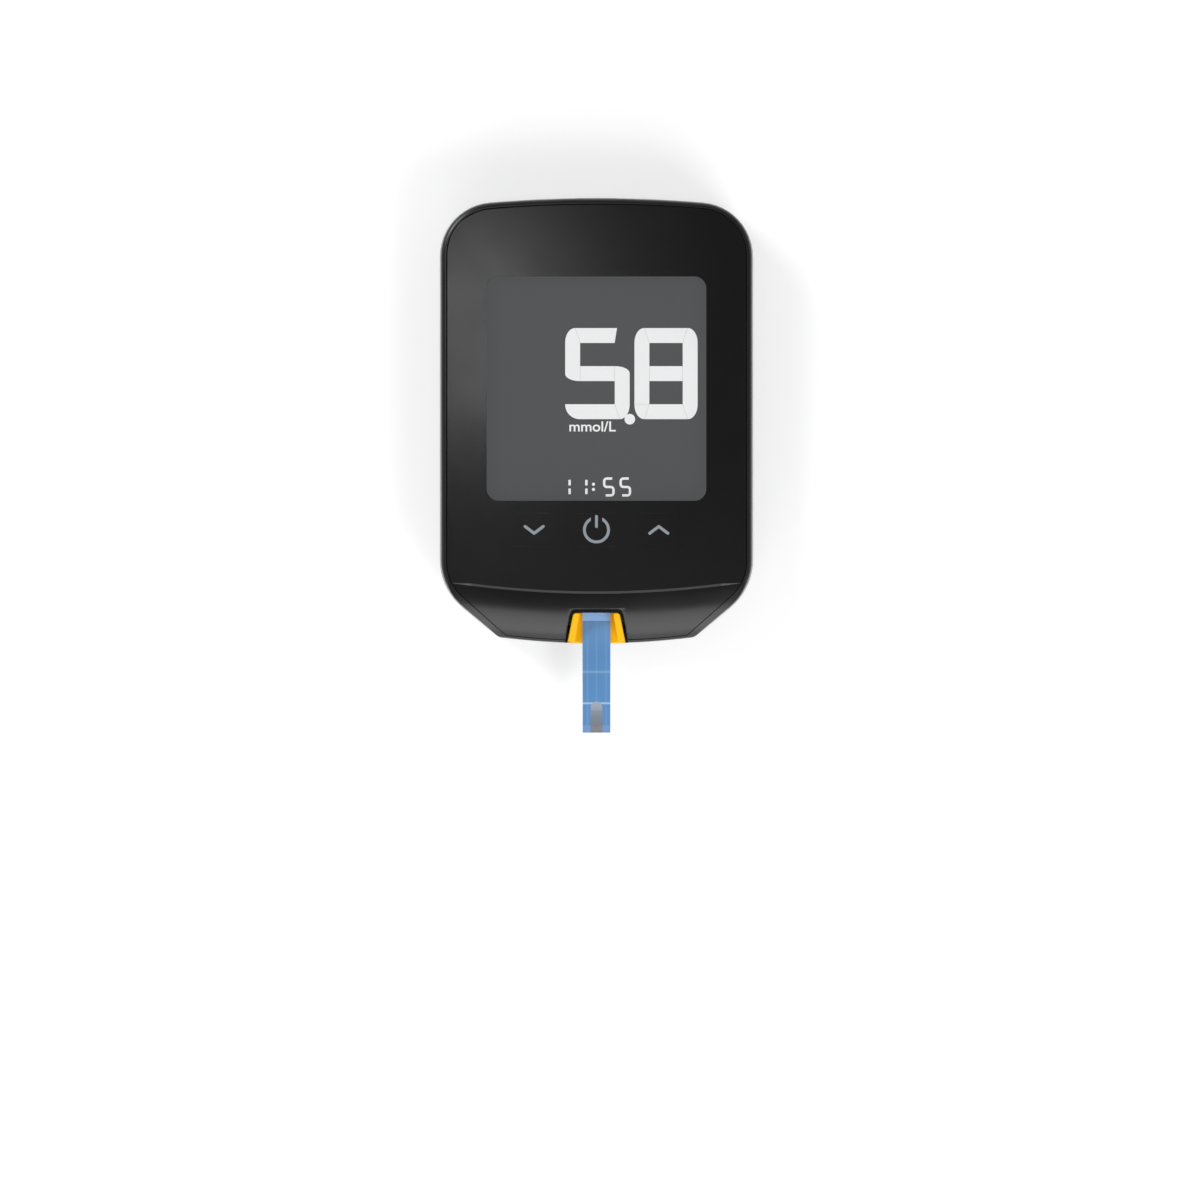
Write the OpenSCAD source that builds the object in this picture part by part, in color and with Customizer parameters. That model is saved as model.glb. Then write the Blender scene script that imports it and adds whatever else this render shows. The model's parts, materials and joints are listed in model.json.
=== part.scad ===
// Hand-held blood glucose meter, lying on its back with a test strip in its port.
// The origin is the centre of the flat back, +Z is the normal of the front face
// and +Y points to the top edge. All lengths are in millimetres, all angles in degrees.

/* [Case] */
// Width of the case
case_w = 60.5; // [60:0.5:68]
// Length of the case, from its top edge to its bottom edge
case_h = 86; // [86:0.5:100]
// Thickness of the case, from its back to its front face
case_t = 16; // [16:0.1:20]
// Height of the seam between the rear cover and the rim frame
seam_z = 8; // [7.9:0.1:8.3]
// Thickness of the side wall
wall_t = 1.9; // [1.6:0.1:2.1]
// Thickness of the rear cover's floor
floor_t = 2; // [1.9:0.1:2.4]
// Radius of the crowned top edge
crown_r = 250; // [200:10:400]
// Radius of the two upper corners
corner_r = 10.5; // [9.5:0.5:11]
// Radius of the bowed bottom edge
belly_r = 150; // [140:10:300]
// Slope of the cut-off lower corners, from the horizontal
diagonal_angle = 39.4; // [37:0.2:42]
// Height above the bottom edge at which the cut-off corners would meet the sides
diagonal_up = 10.5; // [9.5:0.1:11]
// Radius where the sides turn into the cut-off corners
hip_r = 12; // [8:0.5:13]
// Radius where the cut-off corners turn into the bottom edge
toe_r = 2; // [1:0.1:3]
// Width of the rounding around the back
back_round = 1.8; // [1.5:0.1:2]
// Height of the rounding around the back
back_rise = 3; // [2:0.1:4]
// Lean of the rear cover's side wall
rear_draft = 0.2; // [0.1:0.05:0.3]
// Lean of the rim's side wall
rim_draft = 0.3; // [0.1:0.05:0.5]
// Radius of the rim's front edge
rim_round = 0.8; // [0.5:0.05:0.9]

/* [Front panel] */
// Width of the rim around the inlaid panels
rim_w = 1.3; // [1.2:0.05:1.4]
// Width of the rim below the chin
low_rim_w = 0.5; // [0.4:0.05:0.6]
// Slope of the panels' cut-off lower corners, from the horizontal
panel_diagonal_angle = 41.7; // [41:0.1:43]
// Height above the bottom edge at which the panels' cut-off corners would meet their sides
panel_diagonal_up = 11.7; // [11.4:0.1:12]
// Radius where the panels' sides turn into their cut-off corners
panel_hip_r = 9; // [6:0.5:10]
// Width of the groove between the rim and the panels
groove_w = 0.15; // [0.1:0.01:0.2]
// Thickness of the face plate and of the chin
plate_t = 1.4; // [1.2:0.1:1.6]
// Thickness of the ledge that carries the panels
ledge_t = 1; // [0.8:0.1:1.2]
// Reach of the ledge behind the panels
ledge_w = 1.1; // [1:0.1:1.4]
// Length of the chin, from the ridge to the bottom edge
chin_h = 9.6; // [9.2:0.1:10]
// Radius of the ridge line, seen from the front
ridge_r = 190; // [170:5:240]
// Radius of the chin's curved slope
chin_r = 15.5; // [15.3:0.1:17]
// Slope at which the chin starts behind the ridge
chin_start = 10; // [8:0.5:11]

/* [Display] */
// Width of the display window
window_w = 42.3; // [38:0.1:43]
// Height of the display window
window_h = 43.2; // [38:0.1:43.5]
// Corner radius of the display window
window_r = 2.3; // [1:0.1:4]
// Distance from the top edge of the case to the window
window_down = 15.3; // [15:0.1:15.6]
// Depth of the lens below the face
lens_sink = 0.1; // [0:0.05:0.3]
// Thickness of the lens flange behind the face plate
lens_flange_t = 0.6; // [0.4:0.1:0.8]
// Width of the lens flange around the window
lens_flange_w = 1.2; // [1:0.1:1.4]
// Thickness of the liquid crystal panel
lcd_t = 1.8; // [1.6:0.1:2]
// Thickness of the light guide
guide_t = 1.2; // [1:0.1:1.3]
// Wall of the display frame
frame_wall = 1; // [0.8:0.1:1.1]
// Height of the large digits
digit_h = 17.5; // [14:0.1:18]
// Width of the large digits
digit_w = 12.3; // [10:0.1:12.6]
// Stroke of the large digits
digit_stroke = 2.85; // [2:0.05:3]

/* [Keys] */
// Distance from the window to the middle of the keys
key_down = 5.6; // [5.4:0.1:5.8]
// Distance between neighbouring keys
key_pitch = 12; // [11.8:0.1:12.6]
// Width of a key cap
key_w = 9.2; // [8.6:0.1:9.4]
// Height of a key cap
key_h = 6.2; // [5.8:0.1:6.4]
// Corner radius of a key cap
key_r = 1.2; // [0.5:0.1:2]
// Gap around a key cap
key_gap = 0.12; // [0.08:0.01:0.2]
// Travel of a key
key_travel = 0.4; // [0.2:0.05:0.6]
// Depth of the symbols inlaid in the caps
symbol_t = 0.2; // [0.1:0.05:0.3]

/* [Strip port] */
// Depth of the port notch, from the bottom edge of the case
notch_h = 6.6; // [6.4:0.1:7]
// Width of the port notch at its inner end
notch_w = 9.9; // [9.6:0.1:10.4]
// Spread of the port notch on each side towards its mouth
notch_flare = 1.2; // [0.8:0.1:1.6]
// Gap between the chin and the yellow insert
insert_gap = 0.5; // [0.3:0.05:0.6]
// Depth of the insert's top below the chin
insert_sink = 0.5; // [0.3:0.1:0.8]
// Width of the strip channel at its inner end
channel_w = 6.4; // [6.2:0.1:6.8]
// Spread of the strip channel on each side towards its mouth
channel_flare = 1; // [0.6:0.1:1.3]

/* [Test strip] */
// Width of the test strip
strip_w = 5.4; // [5:0.1:5.5]
// Length of the test strip
strip_l = 32; // [30:0.5:33]
// Length of the strip that stands out below the case
strip_out = 17.2; // [15:0.1:18]
// Height of the strip's underside
strip_z = 10; // [9.9:0.05:10.1]
// Thickness of the strip's base
base_t = 0.25; // [0.2:0.01:0.3]
// Thickness of the strip's top film
film_t = 0.15; // [0.1:0.01:0.2]
// Width of the sample chamber
chamber_w = 2.3; // [1.8:0.1:2.6]
// Length of the sample chamber
chamber_l = 6; // [4:0.1:7]
// Length of the contact pads at the inner end
pad_l = 4.6; // [4.4:0.1:5]

/* [Board] */
// Height of the board's underside
board_z = 7.2; // [7:0.05:7.3]
// Thickness of the board
board_t = 1.2; // [1:0.1:1.3]
// Distance from the edge of the case to the edge of the board
board_inset = 3.4; // [3.2:0.1:3.6]

/* [Battery] */
// Diameter of a coin cell
cell_d = 20; // [19.6:0.1:20.2]
// Thickness of a coin cell
cell_t = 3.2; // [3:0.1:3.3]
// Distance between the two coin cells
cell_gap = 0.7; // [0.5:0.1:1]
// Distance from the top edge of the case to the middle of the cells
cell_down = 15.5; // [15:0.1:16]
// Depth of the door channel in the back
door_channel_t = 1.75; // [1.6:0.05:1.8]
// Thickness of the lips that hold the door
door_lip_t = 0.9; // [0.8:0.05:1]
// Reach of the lips over the door
door_lip_w = 1; // [0.8:0.05:1.1]
// Running gap around the door
door_gap = 0.15; // [0.1:0.01:0.2]

/* [Screws] */
// Radius of the screw shank
screw_r = 0.9; // [0.8:0.05:1]
// Radius of the screw head
screw_head_r = 1.75; // [1.6:0.05:1.8]
// Radius of the screw bosses
boss_r = 2.3; // [2.2:0.05:2.4]
// Distance from the side of the case to the upper screws
top_boss_in = 4.85; // [4.8:0.05:5]
// Distance from the top of the case to the upper screws
top_boss_down = 8.8; // [8.6:0.1:9.2]
// Distance from the side of the case to the lower screws
low_boss_in = 5.85; // [5.6:0.05:6.2]
// Distance from the bottom of the case to the lower screws
low_boss_up = 16.5; // [16:0.1:17]

/* [Hidden] */
$fn = 64;
overlap = 1;                  // how far a cutter runs past the face that it cuts
slice_t = 0.02;               // thickness of the slices that a rounded shell is drawn over
fine_arc = 720;               // sides of a full circle in the flattest arcs

// Case outline, seen from the front
top_y = case_h / 2;
bottom_y = -case_h / 2;
crown_c = [0, top_y - crown_r];
belly_c = [0, bottom_y + belly_r];
corner_c = [
  case_w / 2 - corner_r,
  crown_c.y + sqrt(pow(crown_r - corner_r, 2) - pow(case_w / 2 - corner_r, 2))
];
// [side inset, bottom inset, slope and height of the cut-off corners, hip radius, toe radius]
case_form = [0, 0, diagonal_angle, diagonal_up, hip_r, toe_r];
panel_form = [rim_w, low_rim_w, panel_diagonal_angle, panel_diagonal_up, panel_hip_r, 0];

// Front surface
seat_z = case_t - plate_t;
ridge_y = bottom_y + chin_h;
ridge_c = [0, ridge_y + ridge_r];
chin_arc_c = [ridge_r - chin_r * sin(chin_start), case_t - chin_r * cos(chin_start)];
front_sweep = 2 * ceil(asin(case_w / 2 / (ridge_c.y - top_y)) + 2);
ledge_inset = wall_t + ledge_w;

// Rear cover
lip_gap = 0.05;
lip_t = 0.8;
lip_h = 0.9;
lip_root = 1.5;
board_top_z = board_z + board_t;
boss_places = [
  for (s = [-1, 1]) [s * (case_w / 2 - top_boss_in), top_y - top_boss_down],
  for (s = [-1, 1]) [s * (case_w / 2 - low_boss_in), bottom_y + low_boss_up]
];
screw_head_t = 1.2;
screw_head_sink = door_channel_t + 0.15;
screw_seat_z = screw_head_sink + screw_head_t;
screw_recess_r = screw_head_r + 0.25;
screw_bite = 4.5;
post_r = 1.5;
post_places = [
  for (s = [-1, 1]) [s * (case_w / 2 - 5.6), 0],
  for (s = [-1, 1]) [s * 14, bottom_y + 10]
];
pin_r = 0.7;
pin_gap = 0.08;

// Coin cells and their door
cell_r = cell_d / 2;
cell_y = top_y - cell_down;
cell_x = cell_r + cell_gap / 2;
pocket_gap = 0.3;
pocket_wall = 0.9;
pocket_r = cell_r + pocket_gap;
pocket_top_z = door_channel_t + cell_t + 1;
web_top_z = door_channel_t + 1.25;
door_mouth_w = 2 * (cell_x + pocket_r) + 0.6;
door_slot_w = door_mouth_w + 2 * door_lip_w;
door_start_y = cell_y - pocket_r - 2.5;
clip_w = 3.2;
clip_t = 0.25;
contact_t = 0.25;
grip_w = 18;
grip_r = 0.7;
grip_depth = 0.35;
grip_count = 4;
grip_pitch = 1.8;
grip_down = 6.5;

// Display stack, from the face down to the board
window_c = [0, top_y - window_down - window_h / 2];
lens_base_z = seat_z - lens_flange_t;
fit_gap = 0.05;
segment_t = 0.1;
segment_gap = 0.2;
segment_z = lens_base_z - segment_gap - segment_t;
lcd_z = segment_z - lcd_t;
guide_z = lcd_z - guide_t;
frame_floor_t = 0.8;
frame_floor_z = guide_z - frame_floor_t;
lcd_border = 1.4;
lcd_gap = 0.1;
lcd_w = window_w + 2 * lcd_border;
lcd_h = window_h + 2 * lcd_border;
frame_w = lcd_w + 2 * (lcd_gap + frame_wall);
frame_h = lcd_h + 2 * (lcd_gap + frame_wall);
zebra_w = 36;
zebra_t = 1.6;
zebra_y = window_c.y - lcd_h / 2 + 0.3 + zebra_t / 2;
guide_h = lcd_h - zebra_t - 1.2;
guide_c = window_c + [0, (lcd_h - guide_h) / 2];
led_size = [3, 1.2, 0.9];
led_x = 10;
led_y = guide_c.y + guide_h / 2 - led_size.y / 2;

// Digits: the large ones end near the window's right side, the clock stands at its bottom
digit_pitch = digit_w + 0.95;
digit_x = window_w / 2 - 1.6 - digit_w / 2 - digit_pitch;
digit_y = window_c.y + 2.9;
point_r = 1;
small_h = 3.7;
small_w = 2.2;
small_stroke = 0.45;
small_pitch = 3.2;
clock_up = 2.7;
colon_x = -0.55;

// Parts on the board: the chips lie in the bay that the display frame leaves open
bay_w = lcd_w - 2;
bay_h = lcd_h - 2 * zebra_t - 3.4;
chip_w = 8;
chip_t = 1;
chip_lift = 0.1;
chip_leg_w = 0.3;
memory_w = 5;
memory_h = 4;
memory_x = bay_w * 0.28;
crystal_l = 6;
crystal_r = 0.6;
crystal_x = -bay_w * 0.255;
upper_row_y = window_c.y + bay_h * 0.23;
row_pitch = 2.6;
row_count = 6;
resistor_size = [1.6, 0.8, 0.5];
capacitor_size = [1, 0.5, 0.35];
diode_size = [3, 1.6, 1.2];
diode_x = 12;
diode_up = 12.6;

// Keys
key_y = window_c.y - window_h / 2 - key_down;
key_lug_w = 0.8;
key_lug_t = 0.7;
key_base_z = seat_z - 1.2;
mat_t = 0.8;
mat_top_z = board_top_z + mat_t;
mat_w = 2 * key_pitch + key_w + 4;
mat_end_y = window_c.y - frame_h / 2 - 0.35;
mat_h = 6;
spring_foot_r = 2.6;
spring_head_r = 1.8;
spring_wall = 0.6;
spring_head_t = 0.9;
core_r = 0.8;
chevron_w = 4.05;
chevron_h = 1.87;
symbol_stroke = 0.55;
power_r = 2.6;

// Strip port
insert_base_t = 0.8;
insert_z = strip_z - insert_base_t;
insert_inner_y = bottom_y + notch_h - 0.7;
notch_round = 0.8;
strip_end_y = bottom_y - strip_out;
strip_top_y = strip_end_y + strip_l;
connector_w = 9.2;
connector_front_y = insert_inner_y + 0.3;
connector_back_y = strip_top_y + 1.3;
connector_top_z = strip_z + 2.2;
connector_slot_gap = 0.12;
pad_t = 0.03;
pad_count = 5;
pad_pitch = 1;
pad_w = 0.6;
finger_t = 0.2;
finger_w = 0.45;

// Data socket
usb_w = 7.5;
usb_d = 5.6;
usb_h = 2.6;
usb_wall = 0.3;
usb_front_y = top_y - 0.7;
usb_cut_gap = 0.25;

// Label and buzzer
label_w = 40;
label_h = 24;
label_t = 0.2;
label_y = -label_h / 2 - 4;
buzzer_r = 4.5;
buzzer_t = 2.6;
buzzer_x = key_pitch + 2;
buzzer_up = 8;
sound_hole_r = 0.8;

function angle_of(v) = atan2(v.y, v.x);

// Points along an arc; from = 1 leaves out the first, where it would repeat the last one
function arc(c, r, a0, a1, steps, from = 0) =
  [for (i = [from : steps]) let (a = a0 + (a1 - a0) * i / steps) c + r * [cos(a), sin(a)]];

// The point that lies d inside both the cut-off corner and the bottom edge of a form
function toe_point(hip_corner, slope, edge_r, d) = let (
  along = [-cos(slope), -sin(slope)],
  start = hip_corner - [sin(slope), -cos(slope)] * d - belly_c,
  back = start * along,
  run = sqrt(back * back - start * start + pow(edge_r - d, 2)) - back
) belly_c + start + along * run;

// Right half of a form's outline, moved inwards by inset, from the top to the bottom
function half_outline(form, inset) = let (
  side = form[0] + inset,
  hip_corner = [case_w / 2 - form[0], bottom_y + form[3]],
  hip_turn = 90 - form[2],
  hip_c = hip_corner + [-form[4], form[4] * tan(hip_turn / 2)],
  edge_r = belly_r - form[1],
  round_toe = form[5] > inset + 0.1,
  toe_c = toe_point(hip_corner, form[2], edge_r, round_toe ? form[5] : inset),
  crown_end = angle_of(corner_c - crown_c),
  belly_start = angle_of(toe_c - belly_c)
) [
  each arc(crown_c, crown_r - side, 90, crown_end, 9),
  each arc(corner_c, corner_r - side, crown_end, 0, 12, 1),
  each arc(hip_c, form[4] - inset, 0, -hip_turn, 9),
  if (round_toe) each arc(toe_c, form[5] - inset, -hip_turn, belly_start, 4),
  each arc(belly_c, edge_r - inset, belly_start, -90, 9, round_toe ? 1 : 0)
];

// ---- shared shapes ----

// What a rounded corner leaves off, between the directions u1 and u2 from its centre
module corner_waste(c, r, u1, u2) {
  difference() {
    polygon([c, c + u1 * 2 * r, c + (u1 + u2) * 2 * r, c + u2 * 2 * r]);
    translate(c) circle(r);
  }
}

// Outline of the case, or of another form, moved inwards by inset
module outline(inset = 0, form = case_form) {
  right = half_outline(form, inset);
  last = len(right) - 1;
  polygon([each right, for (i = [last - 1 : -1 : 1]) [-right[i].x, right[i].y]]);
}

module prism(z0, z1) {
  translate([0, 0, z0]) linear_extrude(z1 - z0) children();
}

// A profile drawn as (x, z), run from y0 to y1
module along_y(y0, y1) {
  translate([0, y1, 0]) rotate([90, 0, 0]) linear_extrude(y1 - y0) children();
}

// A profile drawn as (y, z), run from x0 to x1
module along_x(x0, x1) {
  translate([x0, 0, 0]) rotate([90, 0, 90]) linear_extrude(x1 - x0) children();
}

module rounded_rect(w, h, r) {
  square([w, h - 2 * r], center = true);
  square([w - 2 * r, h], center = true);
  for (x = [-1, 1], y = [-1, 1]) translate([x * (w / 2 - r), y * (h / 2 - r)]) circle(r);
}

// A trapezoid in the port: half_w wide at the inner end, wider by flare at the bottom edge
module port_shape(inner_y, half_w, flare) {
  grow = flare / (inner_y - bottom_y);
  reach = inner_y - bottom_y + overlap;
  polygon([
    [-half_w, inner_y], [half_w, inner_y],
    [half_w + grow * reach, bottom_y - overlap], [-half_w - grow * reach, bottom_y - overlap]
  ]);
}

// Everything below the chin's slope, which runs on level from its highest line.
// drop lowers it, for the faces behind the panels.
module slope_solid(drop = 0) {
  flat_start = ridge_c.y - top_y - 5;
  slope_l = chin_h + 8;
  slope_top = chin_arc_c.y + chin_r;
  translate([ridge_c.x, ridge_c.y, -drop]) rotate([0, 0, -90 - front_sweep / 2])
    rotate_extrude(angle = front_sweep, $fn = 2 * fine_arc) {
      translate([flat_start, 0]) square([chin_arc_c.x - flat_start, slope_top]);
      intersection() {
        translate(chin_arc_c) circle(chin_r, $fn = 2 * $fn);
        translate([chin_arc_c.x, 0]) square([slope_l, slope_top]);
      }
    }
}

// Everything below the front surface: the level face, then the chin's slope
module front_solid(drop = 0) {
  intersection() {
    slope_solid(drop);
    translate([-case_w, -case_h, -case_t]) cube([2 * case_w, 2 * case_h, 2 * case_t - drop]);
  }
}

module rear_envelope() {
  steps = 4;
  hull() {
    for (i = [0 : steps]) {
      a = 90 * i / steps;
      translate([0, 0, back_rise * (1 - sin(a))]) linear_extrude(slice_t)
        outline(rear_draft + back_round * (1 - cos(a)));
    }
    translate([0, 0, seam_z - slice_t]) linear_extrude(slice_t) outline();
  }
}

module front_envelope() {
  steps = 4;
  hull() {
    translate([0, 0, seam_z]) linear_extrude(slice_t) outline();
    for (i = [0 : steps]) {
      a = 90 * i / steps;
      translate([0, 0, case_t - slice_t - rim_round * (1 - sin(a))]) linear_extrude(slice_t)
        outline(rim_draft + rim_round * (1 - cos(a)));
    }
  }
}

// ---- case ----

module door_channel() {
  along_y(door_start_y, top_y + overlap) {
    translate([-door_mouth_w / 2, -overlap]) square([door_mouth_w, door_channel_t + overlap]);
    translate([-door_slot_w / 2, door_lip_t]) square([door_slot_w, door_channel_t - door_lip_t]);
  }
}

module cell_pockets(r) {
  for (s = [-1, 1]) translate([s * cell_x, cell_y]) circle(r);
}

module rear_cover() color("#303134") difference() {
  union() {
    difference() {
      rear_envelope();
      prism(floor_t, seam_z + overlap) outline(wall_t);
    }
    // lip that centres the rim frame, open around its bosses and the data socket
    prism(seam_z - lip_root, seam_z + lip_h) difference() {
      outline(wall_t + lip_gap);
      outline(wall_t + lip_gap + lip_t);
      for (p = boss_places) translate(p) circle(boss_r + 0.2);
      translate([-usb_w / 2 - usb_cut_gap, 0]) square([usb_w + 2 * usb_cut_gap, case_h]);
    }
    prism(seam_z - lip_root, seam_z) difference() {
      outline(wall_t - lip_gap);
      outline(wall_t + lip_gap + lip_t);
    }
    // web over the door channel, and the walls of the cell pockets
    prism(floor_t, web_top_z) intersection() {
      outline(wall_t - lip_gap);
      translate([-door_slot_w / 2 - 1, door_start_y - 1]) square([door_slot_w + 2, case_h]);
    }
    prism(floor_t, pocket_top_z) cell_pockets(pocket_r + pocket_wall);
    for (p = boss_places) translate([p.x, p.y, floor_t / 2])
      cylinder(r = boss_r, h = seam_z - floor_t / 2);
    for (p = post_places) translate([p.x, p.y, floor_t / 2]) {
      cylinder(r = post_r, h = board_z - floor_t / 2);
      cylinder(r = pin_r, h = board_top_z - floor_t / 2);
    }
  }
  door_channel();
  prism(door_channel_t - overlap, pocket_top_z + overlap) cell_pockets(pocket_r);
  // slots through which the positive clips reach the cells
  prism(web_top_z, pocket_top_z + overlap) for (s = [-1, 1])
    translate([s * cell_x - clip_w / 2 - 0.3, cell_y - pocket_r - pocket_wall - 0.5])
      square([clip_w + 0.6, pocket_wall + 2]);
  for (p = boss_places) translate([p.x, p.y, 0]) {
    translate([0, 0, -overlap]) cylinder(r = screw_recess_r, h = screw_seat_z + overlap);
    cylinder(r = screw_r + 0.2, h = seam_z + overlap);
  }
  translate([0, label_y, -overlap]) linear_extrude(label_t + 0.05 + overlap)
    rounded_rect(label_w + 0.3, label_h + 0.3, 1.5);
}

module rim_frame() color("#3a3a3c") difference() {
  union() {
    difference() {
      intersection() {
        front_envelope();
        slope_solid();
      }
      difference() {
        prism(seam_z, case_t + overlap) outline(0, panel_form);
        front_solid(plate_t);
      }
      prism(seam_z - overlap, case_t + overlap) outline(ledge_inset);
      intersection() {
        prism(seam_z - overlap, case_t) outline(wall_t);
        front_solid(plate_t + ledge_t);
      }
    }
    // bosses for the screws, each tied to the wall by a rib
    for (p = boss_places) {
      translate([p.x, p.y, seam_z]) cylinder(r = boss_r, h = seat_z - seam_z);
      intersection() {
        prism(seam_z + lip_h + 0.1, seat_z) outline(wall_t / 2);
        translate([min(p.x, sign(p.x) * case_w / 2), p.y - 1, 0])
          cube([case_w / 2 - abs(p.x), 2, case_t]);
      }
    }
  }
  for (p = boss_places) translate([p.x, p.y, seam_z - overlap])
    cylinder(r = screw_r, h = screw_bite + 0.5 + overlap);
  prism(insert_z, case_t) port_shape(bottom_y + notch_h, notch_w / 2, notch_flare);
  translate([-usb_w / 2 - usb_cut_gap, top_y - wall_t - overlap, board_top_z - usb_cut_gap])
    cube([usb_w + 2 * usb_cut_gap, wall_t + 2 * overlap, usb_h + 2 * usb_cut_gap]);
}

module key_shape(grow = 0) {
  rounded_rect(key_w + 2 * grow, key_h + 2 * grow, key_r + grow);
}

module face_plate() color("#1a1a1c") prism(seat_z, case_t) difference() {
  intersection() {
    outline(groove_w, panel_form);
    translate(ridge_c) circle(ridge_r, $fn = 2 * fine_arc);
  }
  translate(window_c) rounded_rect(window_w, window_h, window_r);
  for (i = [-1 : 1]) translate([i * key_pitch, key_y]) key_shape(key_gap);
}

module notch_shape() {
  difference() {
    port_shape(bottom_y + notch_h, notch_w / 2, notch_flare);
    for (side = [0, 1]) mirror([side, 0])
      corner_waste([notch_w / 2 - notch_round, bottom_y + notch_h - notch_round], notch_round,
        [1, 0], [0, 1]);
  }
}

module chin_cover() color("#2a2a2c") intersection() {
  difference() {
    slope_solid();
    front_solid(plate_t - fit_gap);
  }
  prism(0, case_t) difference() {
    outline(groove_w, panel_form);
    translate(ridge_c) circle(ridge_r, $fn = 2 * fine_arc);
    notch_shape();
  }
}

module port_insert() color("#f2b81e") difference() {
  intersection() {
    prism(insert_z, case_t) intersection() {
      port_shape(insert_inner_y, notch_w / 2 - insert_gap, notch_flare);
      outline(0.05);
    }
    slope_solid(insert_sink);
  }
  prism(strip_z, case_t) port_shape(insert_inner_y, channel_w / 2, channel_flare);
}

module rear_label() color("#9a9a98") translate([0, label_y, 0.05]) linear_extrude(label_t)
  rounded_rect(label_w, label_h, 1.35);

module case_screws() color("#b9bbbf") for (p = boss_places) translate([p.x, p.y, 0]) {
  difference() {
    translate([0, 0, screw_head_sink]) cylinder(r = screw_head_r, h = screw_head_t);
    for (a = [0, 90]) rotate(a) translate([-1, -0.2, screw_head_sink - overlap])
      cube([2, 0.4, overlap + 0.6]);
  }
  translate([0, 0, screw_seat_z - 0.2]) cylinder(r = screw_r, h = seam_z + screw_bite - screw_seat_z);
}

// ---- display ----

module display_lens() color("#8d9093", 0.5) translate(window_c) {
  prism(lens_base_z, seat_z)
    rounded_rect(window_w + 2 * lens_flange_w, window_h + 2 * lens_flange_w, window_r);
  prism(seat_z, case_t - lens_sink)
    rounded_rect(window_w - 2 * fit_gap, window_h - 2 * fit_gap, window_r - fit_gap);
}

// A figure eight with rounded corners, stroke t wide
module eight(w, h, t, r) {
  hole_h = (h - 3 * t) / 2;
  difference() {
    rounded_rect(w, h, r);
    for (s = [-1, 1]) translate([0, s * (hole_h + t) / 2])
      square([w - 2 * t, hole_h], center = true);
  }
}

// A figure five: the eight without its upper right and lower left strokes
module five(w, h, t, r) {
  hole_h = (h - 3 * t) / 2;
  difference() {
    eight(w, h, t, r);
    for (s = [-1, 1]) translate([s * (w - t) / 2, s * (hole_h + t) / 2])
      square([t + 0.1, hole_h], center = true);
  }
}

module lcd_segments() color("#eceeee") prism(segment_z, segment_z + segment_t) {
  corner = digit_stroke * 0.9;
  clock_y = window_c.y - window_h / 2 + clock_up;
  small_corner = small_stroke * 0.45;
  one_x = colon_x - 0.42 * small_pitch;
  five_x = colon_x + 0.92 * small_pitch;
  translate([digit_x, digit_y]) five(digit_w, digit_h, digit_stroke, corner);
  translate([digit_x + digit_pitch, digit_y]) eight(digit_w, digit_h, digit_stroke, corner);
  translate([digit_x + digit_w / 2, digit_y - digit_h / 2]) circle(point_r, $fn = 24);
  for (x = [one_x - small_pitch, one_x]) translate([x, clock_y])
    square([small_stroke, small_h], center = true);
  for (s = [-1, 1]) translate([colon_x, clock_y + s * small_h / 7])
    square([small_stroke, small_stroke], center = true);
  for (x = [five_x, five_x + small_pitch]) translate([x, clock_y])
    five(small_w, small_h, small_stroke, small_corner);
}

module lcd_panel() color("#55565a") translate(window_c) prism(lcd_z, segment_z)
  square([lcd_w, lcd_h], center = true);

module led_places() {
  for (s = [-1, 1]) translate([s * led_x, led_y]) children();
}

module light_guide() color("#e8eef2", 0.7) prism(guide_z, lcd_z) difference() {
  translate(guide_c) square([lcd_w, guide_h], center = true);
  led_places() square([led_size.x + 0.1, led_size.y + 0.1], center = true);
}

module backlight_leds() color("#f6f4d8") led_places()
  translate([-led_size.x / 2, -led_size.y / 2, guide_z]) cube(led_size);

module lcd_frame() color("#dcdcd8") difference() {
  translate(window_c) prism(board_top_z, lens_base_z) square([frame_w, frame_h], center = true);
  translate(window_c) prism(guide_z, lens_base_z + overlap)
    square([lcd_w + 2 * lcd_gap, lcd_h + 2 * lcd_gap], center = true);
  translate(window_c) prism(board_top_z - overlap, frame_floor_z)
    square([bay_w, bay_h], center = true);
  prism(board_top_z - overlap, lcd_z) translate([0, zebra_y])
    square([zebra_w + 0.2, zebra_t + 0.2], center = true);
}

module zebra_connector() color("#e9a7b4") prism(board_top_z, lcd_z) translate([0, zebra_y])
  square([zebra_w, zebra_t], center = true);

// ---- board ----

module main_board() color("#1f6b3a") prism(board_z, board_top_z) difference() {
  outline(board_inset);
  for (p = boss_places) translate(p) circle(boss_r + 0.5);
  for (p = post_places) translate(p) circle(pin_r + pin_gap);
}

// A chip's body, which its legs hold above the board
module chip_body(w, h, t) {
  translate([-w / 2, -h / 2, chip_lift]) cube([w, h, t]);
}

// A leg that stands out below a chip's lower side
module chip_leg(x, h) {
  leg_l = 1.2;
  translate([x - chip_leg_w / 2, -h / 2 - leg_l + 0.2, 0]) cube([chip_leg_w, leg_l, 0.2]);
}

module microcontroller() color("#222326") translate([0, window_c.y + 2, board_top_z]) {
  chip_body(chip_w, chip_w, chip_t);
  for (turn = [0 : 90 : 270]) rotate(turn) for (i = [-3 : 3]) chip_leg(i * chip_w / 8, chip_w);
}

module memory_chip() color("#26272b") translate([memory_x, upper_row_y, board_top_z]) {
  chip_body(memory_w, memory_h, 0.9 * chip_t);
  for (turn = [0, 180]) rotate(turn) for (i = [-1.5 : 1.5]) chip_leg(i * memory_w / 4, memory_h);
}

module crystal() color("#c9ccd0") translate([crystal_x, upper_row_y, board_top_z])
  rotate([0, 90, 0]) translate([-crystal_r, 0, -crystal_l / 2]) cylinder(r = crystal_r, h = crystal_l);

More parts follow.
